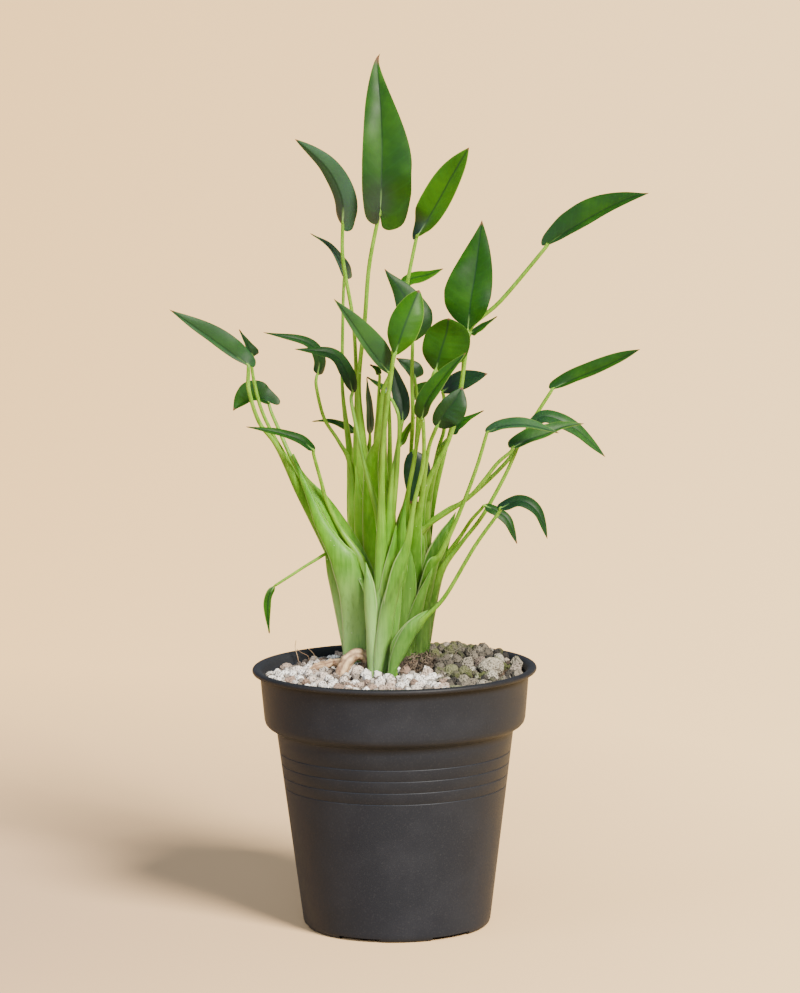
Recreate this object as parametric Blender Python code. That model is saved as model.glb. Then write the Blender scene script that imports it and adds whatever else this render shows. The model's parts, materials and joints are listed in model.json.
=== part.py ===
"""A small many-leaved alocasia in a plain nursery pot of pumice gravel.

Sizes are in millimetres and are turned into metres when a mesh is made. The origin is the middle of
the pot's base on the ground, +Z is up, and the plant's front faces -Y. Each leaf is a stalk, which
starts in the crown of its shoot, and a blade, which hangs on the stalk's end.
"""
import math
import random

import bmesh
import bpy
import numpy as np
from mathutils import Matrix, Vector

MM = 0.001
GAP = 0.35
NOTCH_GAP = 0.6

# The pot: a nursery pot of 120 mm across the lip
LIP_RADIUS = 60.0
LIP_TOP = 110.4
LIP_DEPTH = 2.4
COLLAR_TOP_RADIUS = 56.8
COLLAR_FOOT_RADIUS = 55.1
COLLAR_FOOT = 88.6
STEP_RADIUS = 50.0
STEP_HEIGHT = 83.2
BASE_RADIUS = 39.9
WALL = 1.4
FLOOR_UNDER = 1.6
FLOOR_TOP = 3.4
FOOT_COUNT = 6
FOOT_GAP_WIDTH = 19.0
FOOT_FIRST_ANGLE = math.radians(-54.0)
DRAIN_RADIUS = 3.6
DRAIN_CIRCLE = 23.0
POT_SIDES = 36

# The filling: potting mix, then a layer of pumice stones heaped to the right and the back
MIX_TOP = 102.0
GRAVEL_UNDER = 102.4
GRAVEL_RADIUS = 54.2
GRAVEL_LEVEL = 106.3
STONE_SPACING = 7.2
STONE_RELIEF = 1.7
STONE_TOP = 0.26
CROWN_MOUND = (-2.0, 24.0, 4.5, 17.0)
RIGHT_HEAP = (34.0, 28.0, 6.5, 20.0)
PEBBLE_CENTRE = (41.0, 0.0, 109.3)
PEBBLE_RADII = (5.4, 4.8, 4.2)
ROOT_BALL = (7.0, 10.5, 7.4, 6.0, 110.8)

# Blades and stalks
BLADE_THICKNESS = 0.7
STALK_SIDES = 6
STALK_END_WIDTH = 1.2
ROOT_STAGGER = np.array((0.07, 0.05, -0.53, 0.0))
STALK_END_FARTHEST = 1.0
CORE_SIDES = 8
SHEATH_DEPTH = 0.62
CORE_FOOT = 98.0

GREEN_BLADE = (0.045, 0.16, 0.02)
GREEN_STALK = (0.28, 0.46, 0.11)
MATERIALS = {
    "blade": (GREEN_BLADE, 0.32),
    "stalk": (GREEN_STALK, 0.42),
    "pot": ((0.035, 0.034, 0.036), 0.55),
    "mix": ((0.05, 0.03, 0.018), 0.95),
    "pumice": ((0.62, 0.57, 0.50), 0.92),
    "mossy_pumice": ((0.27, 0.24, 0.16), 0.95),
    "pebble": ((0.42, 0.38, 0.31), 0.9),
    "old_root": ((0.40, 0.25, 0.15), 0.8),
}

# The crowns: the thick foot of each shoot, as (x, depth, height, width) from the soil up
CROWNS = {
    "left": [(-16, 24, CORE_FOOT, 11.6), (-16, 24, 112, 12.0), (-17, 24, 124, 12.6), (-19, 24, 137, 13),
             (-22, 23, 148, 9)],
    "rear": [(-9, 39, CORE_FOOT, 13), (-9, 39, 112, 13.6), (-9, 38, 130, 14), (-8.5, 37, 150, 14),
             (-8.5, 36, 164, 9)],
    "front": [(-8, 6, CORE_FOOT, 5.6), (-8, 6, 108, 6.6), (-7.5, 6, 118, 9), (-6.5, 5, 130, 11),
              (-5.5, 5, 144, 7)],
    "small": [(-1.5, -1, CORE_FOOT, 3.2), (-1, -2, 108, 3.4), (0, -3, 115, 4.2), (2, -3, 121, 4)],
    "right": [(7.5, 24, CORE_FOOT, 12.4), (7.5, 24, 112, 12.8), (8, 24, 126, 13), (9, 23, 142, 12),
              (10, 22, 156, 7)],
}

# The leaves. A stalk runs from inside its crown to the blade, as (x, depth, height, width), and a rib
# runs from there to the blade's tip. left and right are the halves of the blade, as the photo shows
# them with the tip ahead: how wide a half looks, how far its edge leans back for each millimetre of
# that, how far its lobe reaches behind the stalk, and how much of the width it has beside the stalk.
# belly is where along the rib the blade is widest, full is how long it stays wide beyond there.
LEAVES = {}


def leaf(name, shoot, stalk, rib, left, right, belly, full, wave=0.4):
    spec = {"shoot": shoot, "stalk": stalk, "rib": rib, "left": left, "right": right}
    spec.update(belly=belly, full=full, wave=wave)
    LEAVES[name] = spec


leaf("tallest", "rear", left=(9.0, -0.25, 4, 0.7), right=(12.4, -0.2, 6, 0.9), belly=0.24, full=1.3,
     wave=0.7,
     stalk=[(-12, 37, 133, 9), (-12, 35, 168, 8), (-13, 31, 203, 4.5), (-14, 30, 227, 2.6),
            (-11, 28, 255, 2.3), (-9, 26, 277, 2.2), (-5, 24, 297, 2)],
     rib=[(-4, 23, 299.5), (-2, 24, 318.5), (-2.5, 28, 338.5), (-3.5, 36, 366.5)])
leaf("top_left", "rear", left=(3.6, -0.9, 0, 0.4), right=(5.6, 0.4, 2, 1.0), belly=0.2, full=1.2,
     stalk=[(-15, 39, 133, 8), (-15, 38, 167, 7), (-15, 37, 202, 4), (-15, 35, 226, 2.3), (-16, 33, 253, 2),
            (-20, 31, 279, 2), (-20, 29.5, 294, 1.8)],
     rib=[(-20, 29, 296), (-18.5, 27, 307.5), (-24, 24, 320), (-39.5, 18, 331.5)])
leaf("top_right", "rear", left=(7.6, 0.2, 1.5, 0.5), right=(3.0, -1.0, 0.3, 0.6), belly=0.3, full=1.3,
     stalk=[(-7, 35, 133, 8), (-5, 28, 169, 7), (-4, 24, 199, 4), (-2, 21, 225, 2.3), (4, 20, 251, 2),
            (7, 19, 270, 2), (11, 18, 289, 1.8)],
     rib=[(12, 17, 290.5), (18, 15, 300.5), (24, 12, 310.5), (33.5, 8, 328)])
leaf("upper_left_dark", "rear", left=(1.3, -1.6, 0, 0.9), right=(3.4, 0.9, 1.2, 1.0), belly=0.15, full=1.0,
     stalk=[(-15, 42, 132, 7), (-17, 42, 167, 6), (-18, 43, 193, 4), (-21, 44.5, 221, 2), (-21, 47, 240, 1.8),
            (-20, 48, 269, 1.6)],
     rib=[(-19, 48, 271), (-21.5, 46, 277.5), (-26.5, 44, 285), (-34, 40, 290.5)])
leaf("far_right_high", "right", left=(6.8, 0.7, 1.6, 0.65), right=(2.8, -1.3, 0.3, 0.5), belly=0.3, full=1.3,
     stalk=[(10, 26, 134, 9), (13, 22, 169, 6), (18, 12, 192, 3), (27, 6, 211, 2.3), (31, 3.5, 231, 2.2),
            (33, 3.5, 251, 2.2), (46, 2, 264, 2.2), (64, -2, 285.5, 2)],
     rib=[(65, -2, 287.5), (72.5, -5, 296.5), (86, -9, 303.5), (107, -16, 309.5)])
leaf("middle_tall", "right", left=(11.5, -0.1, 0, 0.3), right=(7.2, -0.4, 0, 0.3), belly=0.32, full=1.6,
     wave=0.9,
     stalk=[(9, 22, 135, 8), (11, 14, 170, 5), (16, 7, 190, 2.6), (24, 3, 206, 2.3), (29, 0, 228, 2.2),
            (32, -1, 249, 2)],
     rib=[(32, -1, 251.5), (33.5, 0, 264.5), (36, 4, 279), (38.5, 8, 297.5)])
leaf("round", "right", left=(8.0, -0.3, 1, 0.6), right=(11.0, -0.1, 1, 0.65), belly=0.45, full=2.6,
     stalk=[(6, 20, 135, 8), (4, 15, 160, 9), (6, 9, 180, 3), (9, 3, 196, 2.2), (12, -3, 214, 2.1),
            (17, -10, 233, 2)],
     rib=[(18.5, -11, 236.5), (20.5, -12, 244), (23, -13, 252), (24, -16, 258.5)])
leaf("sliver", "right", left=(1.2, 1.5, 0, 1.0), right=(1.5, -1.5, 0, 1.0), belly=0.3, full=1.2,
     stalk=[(11, 28, 134, 7), (15, 26, 169, 5), (22, 22, 197, 2.3), (28, 19, 221, 2), (32, 17, 244, 1.8)],
     rib=[(33.5, 17, 249), (37.5, 18, 251.5), (45, 20, 256)])
leaf("light_centre", "front", left=(6.3, -0.3, 0.8, 0.5), right=(6.6, -0.2, 0.8, 0.5), belly=0.35, full=2.3,
     stalk=[(-6, 4, 138, 6), (-4, 3, 164, 7), (-4, 1, 189, 4), (-3, -3, 212, 2.6), (0, -9, 235, 2.4),
            (1, -10.5, 242, 2.2)],
     rib=[(1.5, -11, 244), (4.5, -11, 251.5), (8.5, -9, 259.5), (12, -5, 269.5)])
leaf("dark_centre", "right", left=(5.5, -0.2, 0.5, 0.6), right=(8.0, 0.3, 0.5, 0.5), belly=0.32, full=1.6,
     stalk=[(7, 24, 135, 8), (6, 24, 165, 5), (7, 24, 184, 2.4), (8, 19.8, 198.5, 2), (8.8, 9.5, 210.5, 2),
            (8.8, 3.5, 220, 2), (8.6, 3, 232, 2), (9, 3, 245.5, 1.8)],
     rib=[(9, 3, 247.5), (9, 5, 257), (5, 7, 267.5), (-2.5, 9, 277.5)])
leaf("light_back", "rear", left=(1.7, 1.2, 0, 0.8), right=(1.7, -1.2, 0, 0.8), belly=0.3, full=1.3,
     stalk=[(-4, 40, 132, 7), (-2, 38, 167, 5), (-1, 37, 202, 2.3), (-1, 37, 228, 2), (3, 37, 253, 1.8),
            (4, 37, 266, 1.6)],
     rib=[(4.5, 37, 268.5), (9, 36, 271), (15.5, 34, 272.5), (22.5, 32, 275.5)])
leaf("light_left", "rear", left=(3.2, -1.1, 0.5, 0.6), right=(5.0, 0.5, 0.5, 0.9), belly=0.25, full=1.3,
     stalk=[(-8, 34, 124, 7), (-9, 26, 158, 8), (-9, 17, 192, 6), (-6, 10, 206, 3), (-4, 2, 225, 2.3),
            (-1, -2, 233, 2)],
     rib=[(-1, -3, 234.5), (-4, -5, 243.5), (-12, -9, 254), (-23.5, -14, 267)])
leaf("low_centre_dark", "front", left=(3.8, -0.2, 0.3, 0.5), right=(3.2, -0.4, 0.3, 0.6), belly=0.3, full=1.8,
     stalk=[(-4, 7, 137, 6), (-2, 5, 167, 5), (0, 4, 189, 3), (2, 5, 201, 2.2), (4, 5, 212, 2)],
     rib=[(4.5, 6, 213.5), (4.5, 8, 221.5), (2, 11, 230.5), (-1.5, 14, 240)])
leaf("small_grey", "right", left=(2.0, -0.9, 0, 0.9), right=(4.4, 0.4, 0.5, 1.0), belly=0.25, full=1.5,
     stalk=[(8, 28, 134, 7), (9, 27, 169, 4), (10, 20, 199, 2), (11, 16, 217, 1.8), (10, 14, 229.5, 1.6)],
     rib=[(10, 14, 231), (8.5, 14, 234), (2, 13, 239.5)])
leaf("bright_narrow", "front", left=(4.6, 0.4, 0.5, 0.9), right=(2.2, -1.3, 0, 0.7), belly=0.3, full=1.3,
     stalk=[(-3, 0, 130, 6), (2, -1, 151, 7), (6, -3, 163, 4), (9, -5, 180, 2.4), (13, -9, 198, 2.2),
            (13, -17, 215.5, 2)],
     rib=[(12.5, -18, 217), (15, -20, 225), (22.5, -22, 235.5), (31, -24, 245)])
leaf("right_dark", "right", left=(4.0, 0.7, 0.6, 0.7), right=(3.6, -0.6, 0.3, 0.6), belly=0.45, full=1.7,
     stalk=[(13, 26, 134, 7), (14, 22, 169, 4), (19, 16, 198, 2.2), (22, 14, 209, 2), (22, 13, 222, 1.8)],
     rib=[(21.5, 12, 225), (26.5, 11, 228.5), (33, 9, 231), (40.5, 7, 233)])
leaf("glossy", "right", left=(4.4, -0.1, 0.8, 0.7), right=(7.4, -0.2, 0.8, 0.6), belly=0.4, full=2.0,
     stalk=[(9, 16, 136, 7), (9, 10, 162, 6), (12, 3, 180, 3), (15, -6, 202, 2.1), (18, -12, 211.5, 2)],
     rib=[(19, -13, 213.5), (21.5, -14, 218), (26, -14, 224), (29.5, -12, 229.5)])
leaf("edge_on", "right", left=(1.3, 1.4, 0, 0.9), right=(1.9, -1.2, 0, 0.9), belly=0.3, full=1.2,
     stalk=[(15, 24, 134, 6), (14, 20, 170, 4), (18, 14, 194, 2.2), (21, 12, 202, 2), (24, 12, 205.5, 1.8)],
     rib=[(25, 12, 207), (27.5, 13, 210.5), (32, 14, 213.5), (39, 16, 216.5)])
leaf("hanging", "right", left=(6.6, 0.04, 0.8, 0.6), right=(4.8, 0.0, 0.8, 0.7), belly=0.35, full=1.6,
     stalk=[(8, 30, 134, 7), (8, 30, 160, 4), (9, 27, 182, 2.4), (9, 21, 196, 2), (9, 16.5, 199.5, 1.8)],
     rib=[(9, 14, 199), (9.5, 12.5, 192.5), (9, 12.2, 185), (7.5, 12.4, 177.5)])
leaf("left_inner", "front", left=(2.5, -1.3, 0, 0.5), right=(3.2, 0.7, 0.6, 0.9), belly=0.25, full=1.3,
     stalk=[(-5, 6, 138, 6), (-4, 5, 161, 6), (-6, 6, 174, 4), (-11, 8, 192, 2.4), (-14, 10, 206, 2.1),
            (-17, 13, 221, 1.9)],
     rib=[(-16.5, 14, 225), (-19, 13, 233.5), (-25, 10, 241.5), (-40.5, 4, 244.5)])
leaf("left_middle", "rear", left=(1.7, -1.5, 0, 0.9), right=(2.9, 0.8, 0.5, 1.0), belly=0.12, full=0.95,
     stalk=[(-15, 36, 133, 6), (-17, 36, 168, 5), (-18, 36, 191, 3), (-23, 35, 202, 2), (-29, 34, 212, 1.9),
            (-32, 33, 225, 1.8), (-32, 33, 229.5, 1.6)],
     rib=[(-31.5, 33, 231), (-31, 31, 238), (-36, 28, 245), (-54, 22, 250)])
leaf("left_low_back", "rear", left=(1.4, -1.4, 0, 0.9), right=(1.6, 0.9, 0, 0.9), belly=0.25, full=1.2,
     stalk=[(-13, 44, 132, 6), (-14, 47, 166, 4), (-14, 51, 192, 2.2), (-15, 53, 201, 1.8)],
     rib=[(-16, 53, 203.5), (-20.5, 52, 206.5), (-27.5, 50, 209), (-34.5, 48, 209)])
leaf("far_left", "left", left=(3.7, -1.3, 0.5, 0.5), right=(5.0, 0.7, 2.4, 0.85), belly=0.25, full=1.2,
     stalk=[(-16, 24, 132, 10), (-22, 23, 150, 10), (-28, 21, 163, 9), (-34, 19, 174, 7), (-40, 17, 185, 5),
            (-49, 14, 203, 2.6), (-56, 12, 213, 2.2), (-60, 9, 227, 2.1), (-60, 8, 235.5, 2)],
     rib=[(-60, 8, 237.5), (-66.5, 7, 245.5), (-77.5, 4, 253.5), (-92.5, 0, 262)])
leaf("far_left_back", "left", left=(1.3, -1.4, 0, 0.9), right=(3.4, 0.5, 0, 1.0), belly=0.15, full=0.9,
     stalk=[(-15, 27, 134, 8), (-21, 26, 154, 6), (-31, 24, 172, 4), (-41, 22, 190, 3), (-49, 20, 204, 2),
            (-55, 19, 217, 1.9), (-58, 19, 229, 1.8), (-59, 19, 237, 1.6)],
     rib=[(-58.5, 19, 240), (-60.5, 18, 244.5), (-64, 16, 252)])
leaf("left_wide", "front", left=(1.2, -2.0, 1.0, 0.9), right=(7.4, 0.1, 4.6, 0.6), belly=0.4, full=1.8,
     stalk=[(-9, 6, 135, 6), (-12, 7, 148, 8), (-19, 9, 161, 9), (-28, 10, 177, 6), (-37, 12, 188, 3.6),
            (-43, 15, 198, 2.4), (-48, 20, 209, 2), (-51, 23.5, 215.5, 1.8)],
     rib=[(-52.5, 25, 220), (-57.5, 26, 222), (-62.5, 26, 220), (-67.5, 25, 216.5)])
leaf("left_low", "front", left=(1.3, -1.5, 0, 0.8), right=(2.3, 0.8, 0.5, 0.9), belly=0.2, full=1.2,
     stalk=[(-8, 9, 137, 5), (-13, 12, 153, 4), (-22, 15, 166, 3), (-28, 14, 179, 2.4), (-30, 11, 187, 2),
            (-33, 6, 199.5, 1.8)],
     rib=[(-33, 5, 201.5), (-39, 2, 206.5), (-48.5, -1, 210), (-61, -5, 213)])
leaf("drooping_young", "left", left=(1.4, 0.3, 0, 0.9), right=(1.8, -0.4, 0, 0.8), belly=0.4, full=1.4,
     stalk=[(-19, 21, 135, 7), (-24, 19, 149, 5), (-25, 18, 157, 2.2), (-34, 15, 153, 1.6),
            (-44, 13, 147, 1.5), (-49, 12, 144, 1.4)],
     rib=[(-50.5, 12, 143), (-53, 11, 138.5), (-53.5, 11, 132), (-53, 12, 122.5)])
leaf("far_right", "right", left=(3.4, 0.9, 1.5, 0.8), right=(2.9, -1.3, 0.3, 0.6), belly=0.35, full=1.3,
     stalk=[(13, 20, 135, 7), (12, 17, 159, 5), (14, 16, 167, 3.4), (23, 17, 174, 2.6), (32, 18, 179, 2.3),
            (50, 19, 196, 2.1), (61, 19, 214, 2), (67, 18, 223.5, 1.8)],
     rib=[(68, 18, 225.5), (79.5, 16, 233), (91, 13, 238), (104.5, 9, 242.5)])
leaf("right_arched", "right", left=(2.1, 0.9, 1.0, 0.9), right=(1.9, -1.4, 0, 0.8), belly=0.3, full=1.4,
     stalk=[(11, 18, 127, 8), (16, 9, 151, 6), (20, 6, 157, 3), (28, 1, 175, 2.2), (35, -4, 194, 2),
            (39, -7, 207.5, 1.8)],
     rib=[(40, -8, 210), (49, -10, 214.5), (58.5, -12, 215), (69.5, -15, 210)])
leaf("right_bright", "right", left=(3.8, 0.8, 1.0, 0.8), right=(2.6, -1.3, 0.3, 0.7), belly=0.3, full=1.1,
     stalk=[(11, 19, 135, 7), (11, 13, 160, 5), (13, 12, 167, 3), (31, 6, 180, 2.3), (38, 2, 188, 2.1),
            (44, -1, 196, 2), (49.5, -3, 201, 1.8)],
     rib=[(50.5, -4, 203), (59.5, -4, 209), (70.5, -2, 212), (81, 0, 212.5)])
leaf("right_drooping", "right", left=(3.0, 0.8, 0.6, 0.7), right=(2.6, -1.3, 0, 0.7), belly=0.4, full=1.5,
     stalk=[(14, 19, 127, 7), (20, 14, 148, 4), (29, 11, 161, 2.3), (38, 8, 173, 2.1), (48, 7, 191, 2),
            (55, 7, 207, 1.8)],
     rib=[(56.5, 7, 209), (64.5, 8, 214.5), (77, 9, 209), (90, 13, 196.5)])
leaf("right_low", "small", left=(2.6, 0.9, 1.4, 0.9), right=(2.0, -1.3, 0, 0.8), belly=0.35, full=1.5,
     stalk=[(0, -3, 114, 4), (2, -4, 120, 6.5), (8, -6, 128, 6.5), (14, -8, 133, 2.8), (22, -10, 142, 2.2),
            (34, -15, 163, 2), (44, -19, 177.5, 1.8)],
     rib=[(44.5, -20, 179.5), (53, -21, 182.5), (60, -22, 178), (64, -24, 167)])
leaf("right_lowest", "right", left=(1.8, 0.7, 0.4, 0.9), right=(2.2, -0.8, 0, 0.8), belly=0.4, full=1.6,
     stalk=[(12, 23, 126, 6), (19, 19, 148, 3.4), (29, 13, 164, 2.1), (33, 7, 171, 1.9), (37, 3, 176, 1.7)],
     rib=[(38.5, 1, 178), (44, 0, 175.5), (48.5, -1, 171.5), (52, -3, 162)])
leaf("centre_dark", "rear", left=(1.3, -1.6, 0, 0.9), right=(1.8, 1.3, 0, 0.9), belly=0.35, full=1.6,
     stalk=[(-10, 40, 132, 6), (-10, 38, 167, 5), (-10, 35, 194, 3), (-9.5, 32, 203, 1.8)],
     rib=[(-9.5, 31, 205), (-9.5, 29, 213.5), (-10, 27, 221.5), (-10.5, 26, 230)])
leaf("centre_tip", "rear", left=(1.2, -0.4, 0, 1.0), right=(1.2, 0.4, 0, 1.0), belly=0.3, full=1.4,
     stalk=[(-7, 34, 133, 6), (-7, 28, 169, 5), (-7, 19, 200, 3), (-6, 6, 217, 1.8), (-5, 2.5, 231, 1.6)],
     rib=[(-5, 2, 233.5), (-6, 1.5, 236), (-9, 0.5, 238)])
leaf("centre_narrow", "front", left=(1.2, -0.8, 0, 1.0), right=(1.2, 0.4, 0, 1.0), belly=0.3, full=1.4,
     stalk=[(-3, 8, 137, 5), (-1, 6, 167, 4), (2, 3, 193, 2.4), (3, 1, 214, 1.8), (1, 3, 221, 1.6),
            (-1, 5.5, 224, 1.4)],
     rib=[(-2, 6.5, 225.5), (-3.5, 7.5, 227.5), (-6.5, 8.5, 229.5), (-10.5, 9, 232)])
leaf("olive_back", "right", left=(3.2, 0.4, 0, 0.7), right=(2.0, -0.6, 0, 0.8), belly=0.35, full=1.6,
     stalk=[(6, 30, 134, 6), (7, 30, 168, 4), (8, 28, 199, 2), (9, 27, 218.5, 1.6)],
     rib=[(9.5, 26, 220.5), (12, 25.5, 224), (17, 25, 228.5)])
leaf("young_rolled", "rear", left=(1.5, -0.8, 0, 0.9), right=(1.6, 0.8, 0, 0.9), belly=0.35, full=1.4,
     stalk=[(-3, 33, 133, 6), (-1, 30, 160, 5), (0, 27, 182, 3), (2, 25, 198.5, 1.8)],
     rib=[(3.5, 24, 201), (6, 23, 207), (10, 22, 213.5)])

# The edge of half a blade round its lobe, from beside the stalk: (how far back, how far out)
LOBE_EDGE = [(0.0, 0.0), (0.7, 0.25), (1.0, 0.55), (0.45, 0.92)]
# Where the rows round the lobes leave the rib
RIB_STARTS = [0.0, 0.03, 0.06, 0.1]
# Where the rows of a blade lie beyond its lobes, as shares of the way from the belly to the tip
TAPER_ROWS = [0.0, 0.3, 0.57, 0.82]
TAPER_POWER = 1.5
SHORT_BLADE = 15.0
SHORT_BLADE_SKIPS = (1, 3, 7)

# Straight away from the camera, which looks down by 7.4 degrees
AWAY = np.array((0.0, 0.9917, -0.1288))


def clear_scene():
    for thing in list(bpy.data.objects):
        bpy.data.objects.remove(thing, do_unlink=True)


def make_material(name):
    colour, roughness = MATERIALS[name]
    material = bpy.data.materials.new(name)
    material.use_nodes = True
    shader = material.node_tree.nodes["Principled BSDF"]
    shader.inputs["Base Color"].default_value = (*colour, 1.0)
    shader.inputs["Roughness"].default_value = roughness
    return material


def finish_mesh(name, bm, material=None, smooth=True):
    """Turn a bmesh in millimetres into an object in metres."""
    bmesh.ops.triangulate(bm, faces=[face for face in bm.faces if len(face.verts) > 4])
    bmesh.ops.recalc_face_normals(bm, faces=bm.faces)
    bmesh.ops.scale(bm, vec=(MM, MM, MM), verts=bm.verts)
    mesh = bpy.data.meshes.new(name)
    bm.to_mesh(mesh)
    bm.free()
    thing = bpy.data.objects.new(name, mesh)
    bpy.context.scene.collection.objects.link(thing)
    if material:
        mesh.materials.append(material)
    if smooth:
        mesh.shade_smooth()
        mesh.set_sharp_from_angle(angle=math.radians(35))
    return thing


def apply_boolean(thing, operation, other=None, group=None, solver="EXACT"):
    """Cut or join with one object or a collection, and remove what it was cut or joined with."""
    modifier = thing.modifiers.new("join", "BOOLEAN")
    modifier.operation = operation
    modifier.solver = solver
    if group:
        modifier.operand_type = "COLLECTION"
        modifier.collection = group
    else:
        modifier.object = other
    bpy.context.view_layer.update()
    graph = bpy.context.evaluated_depsgraph_get()
    joined = bpy.data.meshes.new_from_object(thing.evaluated_get(graph))
    thing.modifiers.clear()
    old = thing.data
    thing.data = joined
    bpy.data.meshes.remove(old)
    for used in (list(group.objects) if group else [other]):
        bpy.data.objects.remove(used, do_unlink=True)
    if group:
        bpy.data.collections.remove(group)


def drop_scraps(thing):
    """Keep only the largest body of a mesh. Faces belong together where two share an edge."""
    bm = bmesh.new()
    bm.from_mesh(thing.data)
    waiting = set(bm.faces)
    bodies = []
    while waiting:
        body = []
        search = [waiting.pop()]
        while search:
            face = search.pop()
            body.append(face)
            for edge in face.edges:
                for other in edge.link_faces:
                    if other in waiting:
                        waiting.remove(other)
                        search.append(other)
        bodies.append(body)
    bodies.sort(key=len)
    for body in bodies[:-1]:
        bmesh.ops.delete(bm, geom=body, context="FACES")
    bm.to_mesh(thing.data)
    bm.free()


def curve_through(points, count):
    """Points spread along a smooth curve through the given ones (centripetal enough at this spacing)."""
    given = [np.array(point, float) for point in points]
    ends = [2 * given[0] - given[1]] + given + [2 * given[-1] - given[-2]]
    result = []
    for step in range(count):
        place = step / (count - 1) * (len(given) - 1)
        span = min(int(place), len(given) - 2)
        t = place - span
        a, b, c, d = ends[span:span + 4]
        result.append(0.5 * ((2 * b) + (c - a) * t + (2 * a - 5 * b + 4 * c - d) * t * t
                             + (3 * b - a - 3 * c + d) * t ** 3))
    return result


def unit(vector):
    return vector / np.linalg.norm(vector)


def directions(points):
    """The way that a curve heads at each of its points."""
    steps = []
    for index in range(len(points)):
        before = points[max(index - 1, 0)][:3]
        after = points[min(index + 1, len(points) - 1)][:3]
        steps.append(unit(after - before))
    return steps


def tube(points, sides, depth_of):
    """A closed tube through points of (x, y, z, width), flattened front to back by depth_of(width)."""
    bm = bmesh.new()
    rings = []
    for point, along in zip(points, directions(points)):
        across = unit(np.cross(along, (0.0, -1.0, 0.001)))
        outward = np.cross(across, along)
        half_width = point[3] / 2
        half_depth = depth_of(point[3]) / 2
        ring = []
        for side in range(sides):
            angle = 2 * math.pi * side / sides
            place = point[:3] + across * half_width * math.cos(angle) + outward * half_depth * math.sin(angle)
            ring.append(bm.verts.new(place))
        rings.append(ring)
    for lower, upper in zip(rings, rings[1:]):
        for side in range(sides):
            following = (side + 1) % sides
            bm.faces.new((lower[side], lower[following], upper[following], upper[side]))
    bm.faces.new(rings[0])
    bm.faces.new(rings[-1])
    return bm


def stalk_depth(width):
    return width if width < 2.6 else 2.6 + (width - 2.6) * SHEATH_DEPTH


def core_depth(width):
    return width * 0.92


def stalk_course(spec):
    """The points of a stalk, with an end that stays just clear of the foot of its blade."""
    start, heading = rib_places(spec, [0.0])[0][0]
    toward_edge = half_rows(spec, spec["left"], 1)[-1][0] - start
    face = unit(np.cross(heading, toward_edge))
    way = unit(start - np.array(spec["stalk"][-1][:3], float))
    radius = STALK_END_WIDTH / 2
    ahead = max(np.dot(way, heading), 0.1)
    through = max(abs(np.dot(way, face)), 0.1)
    clear_behind = (GAP + radius * math.sqrt(1 - ahead ** 2)) / ahead
    clear_below = (GAP + BLADE_THICKNESS / 2 + radius * math.sqrt(1 - through ** 2)) / through
    end = start - way * min(clear_behind, clear_below, STALK_END_FARTHEST)
    return [*spec["stalk"], (*end, STALK_END_WIDTH)]


def make_shoot(name, materials):
    """A crown with the stalks and sheaths that grow from it, joined in one body."""
    crown = CROWNS[name]
    thing = finish_mesh("shoot_" + name, tube(curve_through(crown, len(crown) + 2), CORE_SIDES, core_depth),
                        materials["stalk"])
    group = bpy.data.collections.new("stalks of " + name)
    for title, spec in LEAVES.items():
        if spec["shoot"] != name:
            continue
        points = curve_through(stalk_course(spec), len(spec["stalk"]) + 1)
        points[0] = points[0] + ROOT_STAGGER * (1 + len(group.objects))
        stalk = finish_mesh("stalk " + title, tube(points, STALK_SIDES, stalk_depth))
        bpy.context.scene.collection.objects.unlink(stalk)
        group.objects.link(stalk)
    bpy.context.scene.collection.children.link(group)
    apply_boolean(thing, "UNION", group=group, solver="MANIFOLD")
    drop_scraps(thing)
    thing.data.shade_smooth()
    thing.data.set_sharp_from_angle(angle=math.radians(40))
    return thing


def rib_places(spec, places):
    """Where the rib is at each place from 0 to 1, and the way it heads there."""
    rib = curve_through(spec["rib"], 41)
    lengths = [0.0]
    for a, b in zip(rib, rib[1:]):
        lengths.append(lengths[-1] + np.linalg.norm(b - a))
    found = []
    for place in places:
        where = place * lengths[-1]
        index = min(max(int(np.searchsorted(lengths, where)) - 1, 0), len(rib) - 2)
        share = (where - lengths[index]) / (lengths[index + 1] - lengths[index])
        middle = rib[index] + (rib[index + 1] - rib[index]) * share
        heading = unit(rib[min(index + 3, len(rib) - 1)] - rib[max(index - 2, 0)])
        found.append((middle, heading))
    return found, lengths[-1]


def half_outline(spec, half):
    """The rows of one half of a blade: (place on the rib, how far back, how far out)."""
    width, lean, lobe, base = half
    real = width * math.hypot(1.0, lean)
    notch = spec["stalk"][-1][3] / 2 + NOTCH_GAP
    shoulder = max(base * real, notch + 0.8)
    rows = [(0.0, back * lobe, notch + out * (shoulder - notch)) for back, out in LOBE_EDGE]
    belly = spec["belly"]
    rows.append((0.5 * belly, 0.0, shoulder + 0.75 * (max(real, shoulder) - shoulder)))
    for share in TAPER_ROWS:
        narrowing = (1 - share ** spec["full"]) ** TAPER_POWER
        rows.append((belly + share * (1 - belly), 0.0, max(real, shoulder) * narrowing))
    return rows


def rib_rows(spec):
    """The point of the rib that each row of a blade starts from."""
    beyond = [place for place, back, out in half_outline(spec, spec["left"])[len(LOBE_EDGE):]]
    found, length = rib_places(spec, RIB_STARTS + beyond)
    return [middle for middle, heading in found], length


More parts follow.
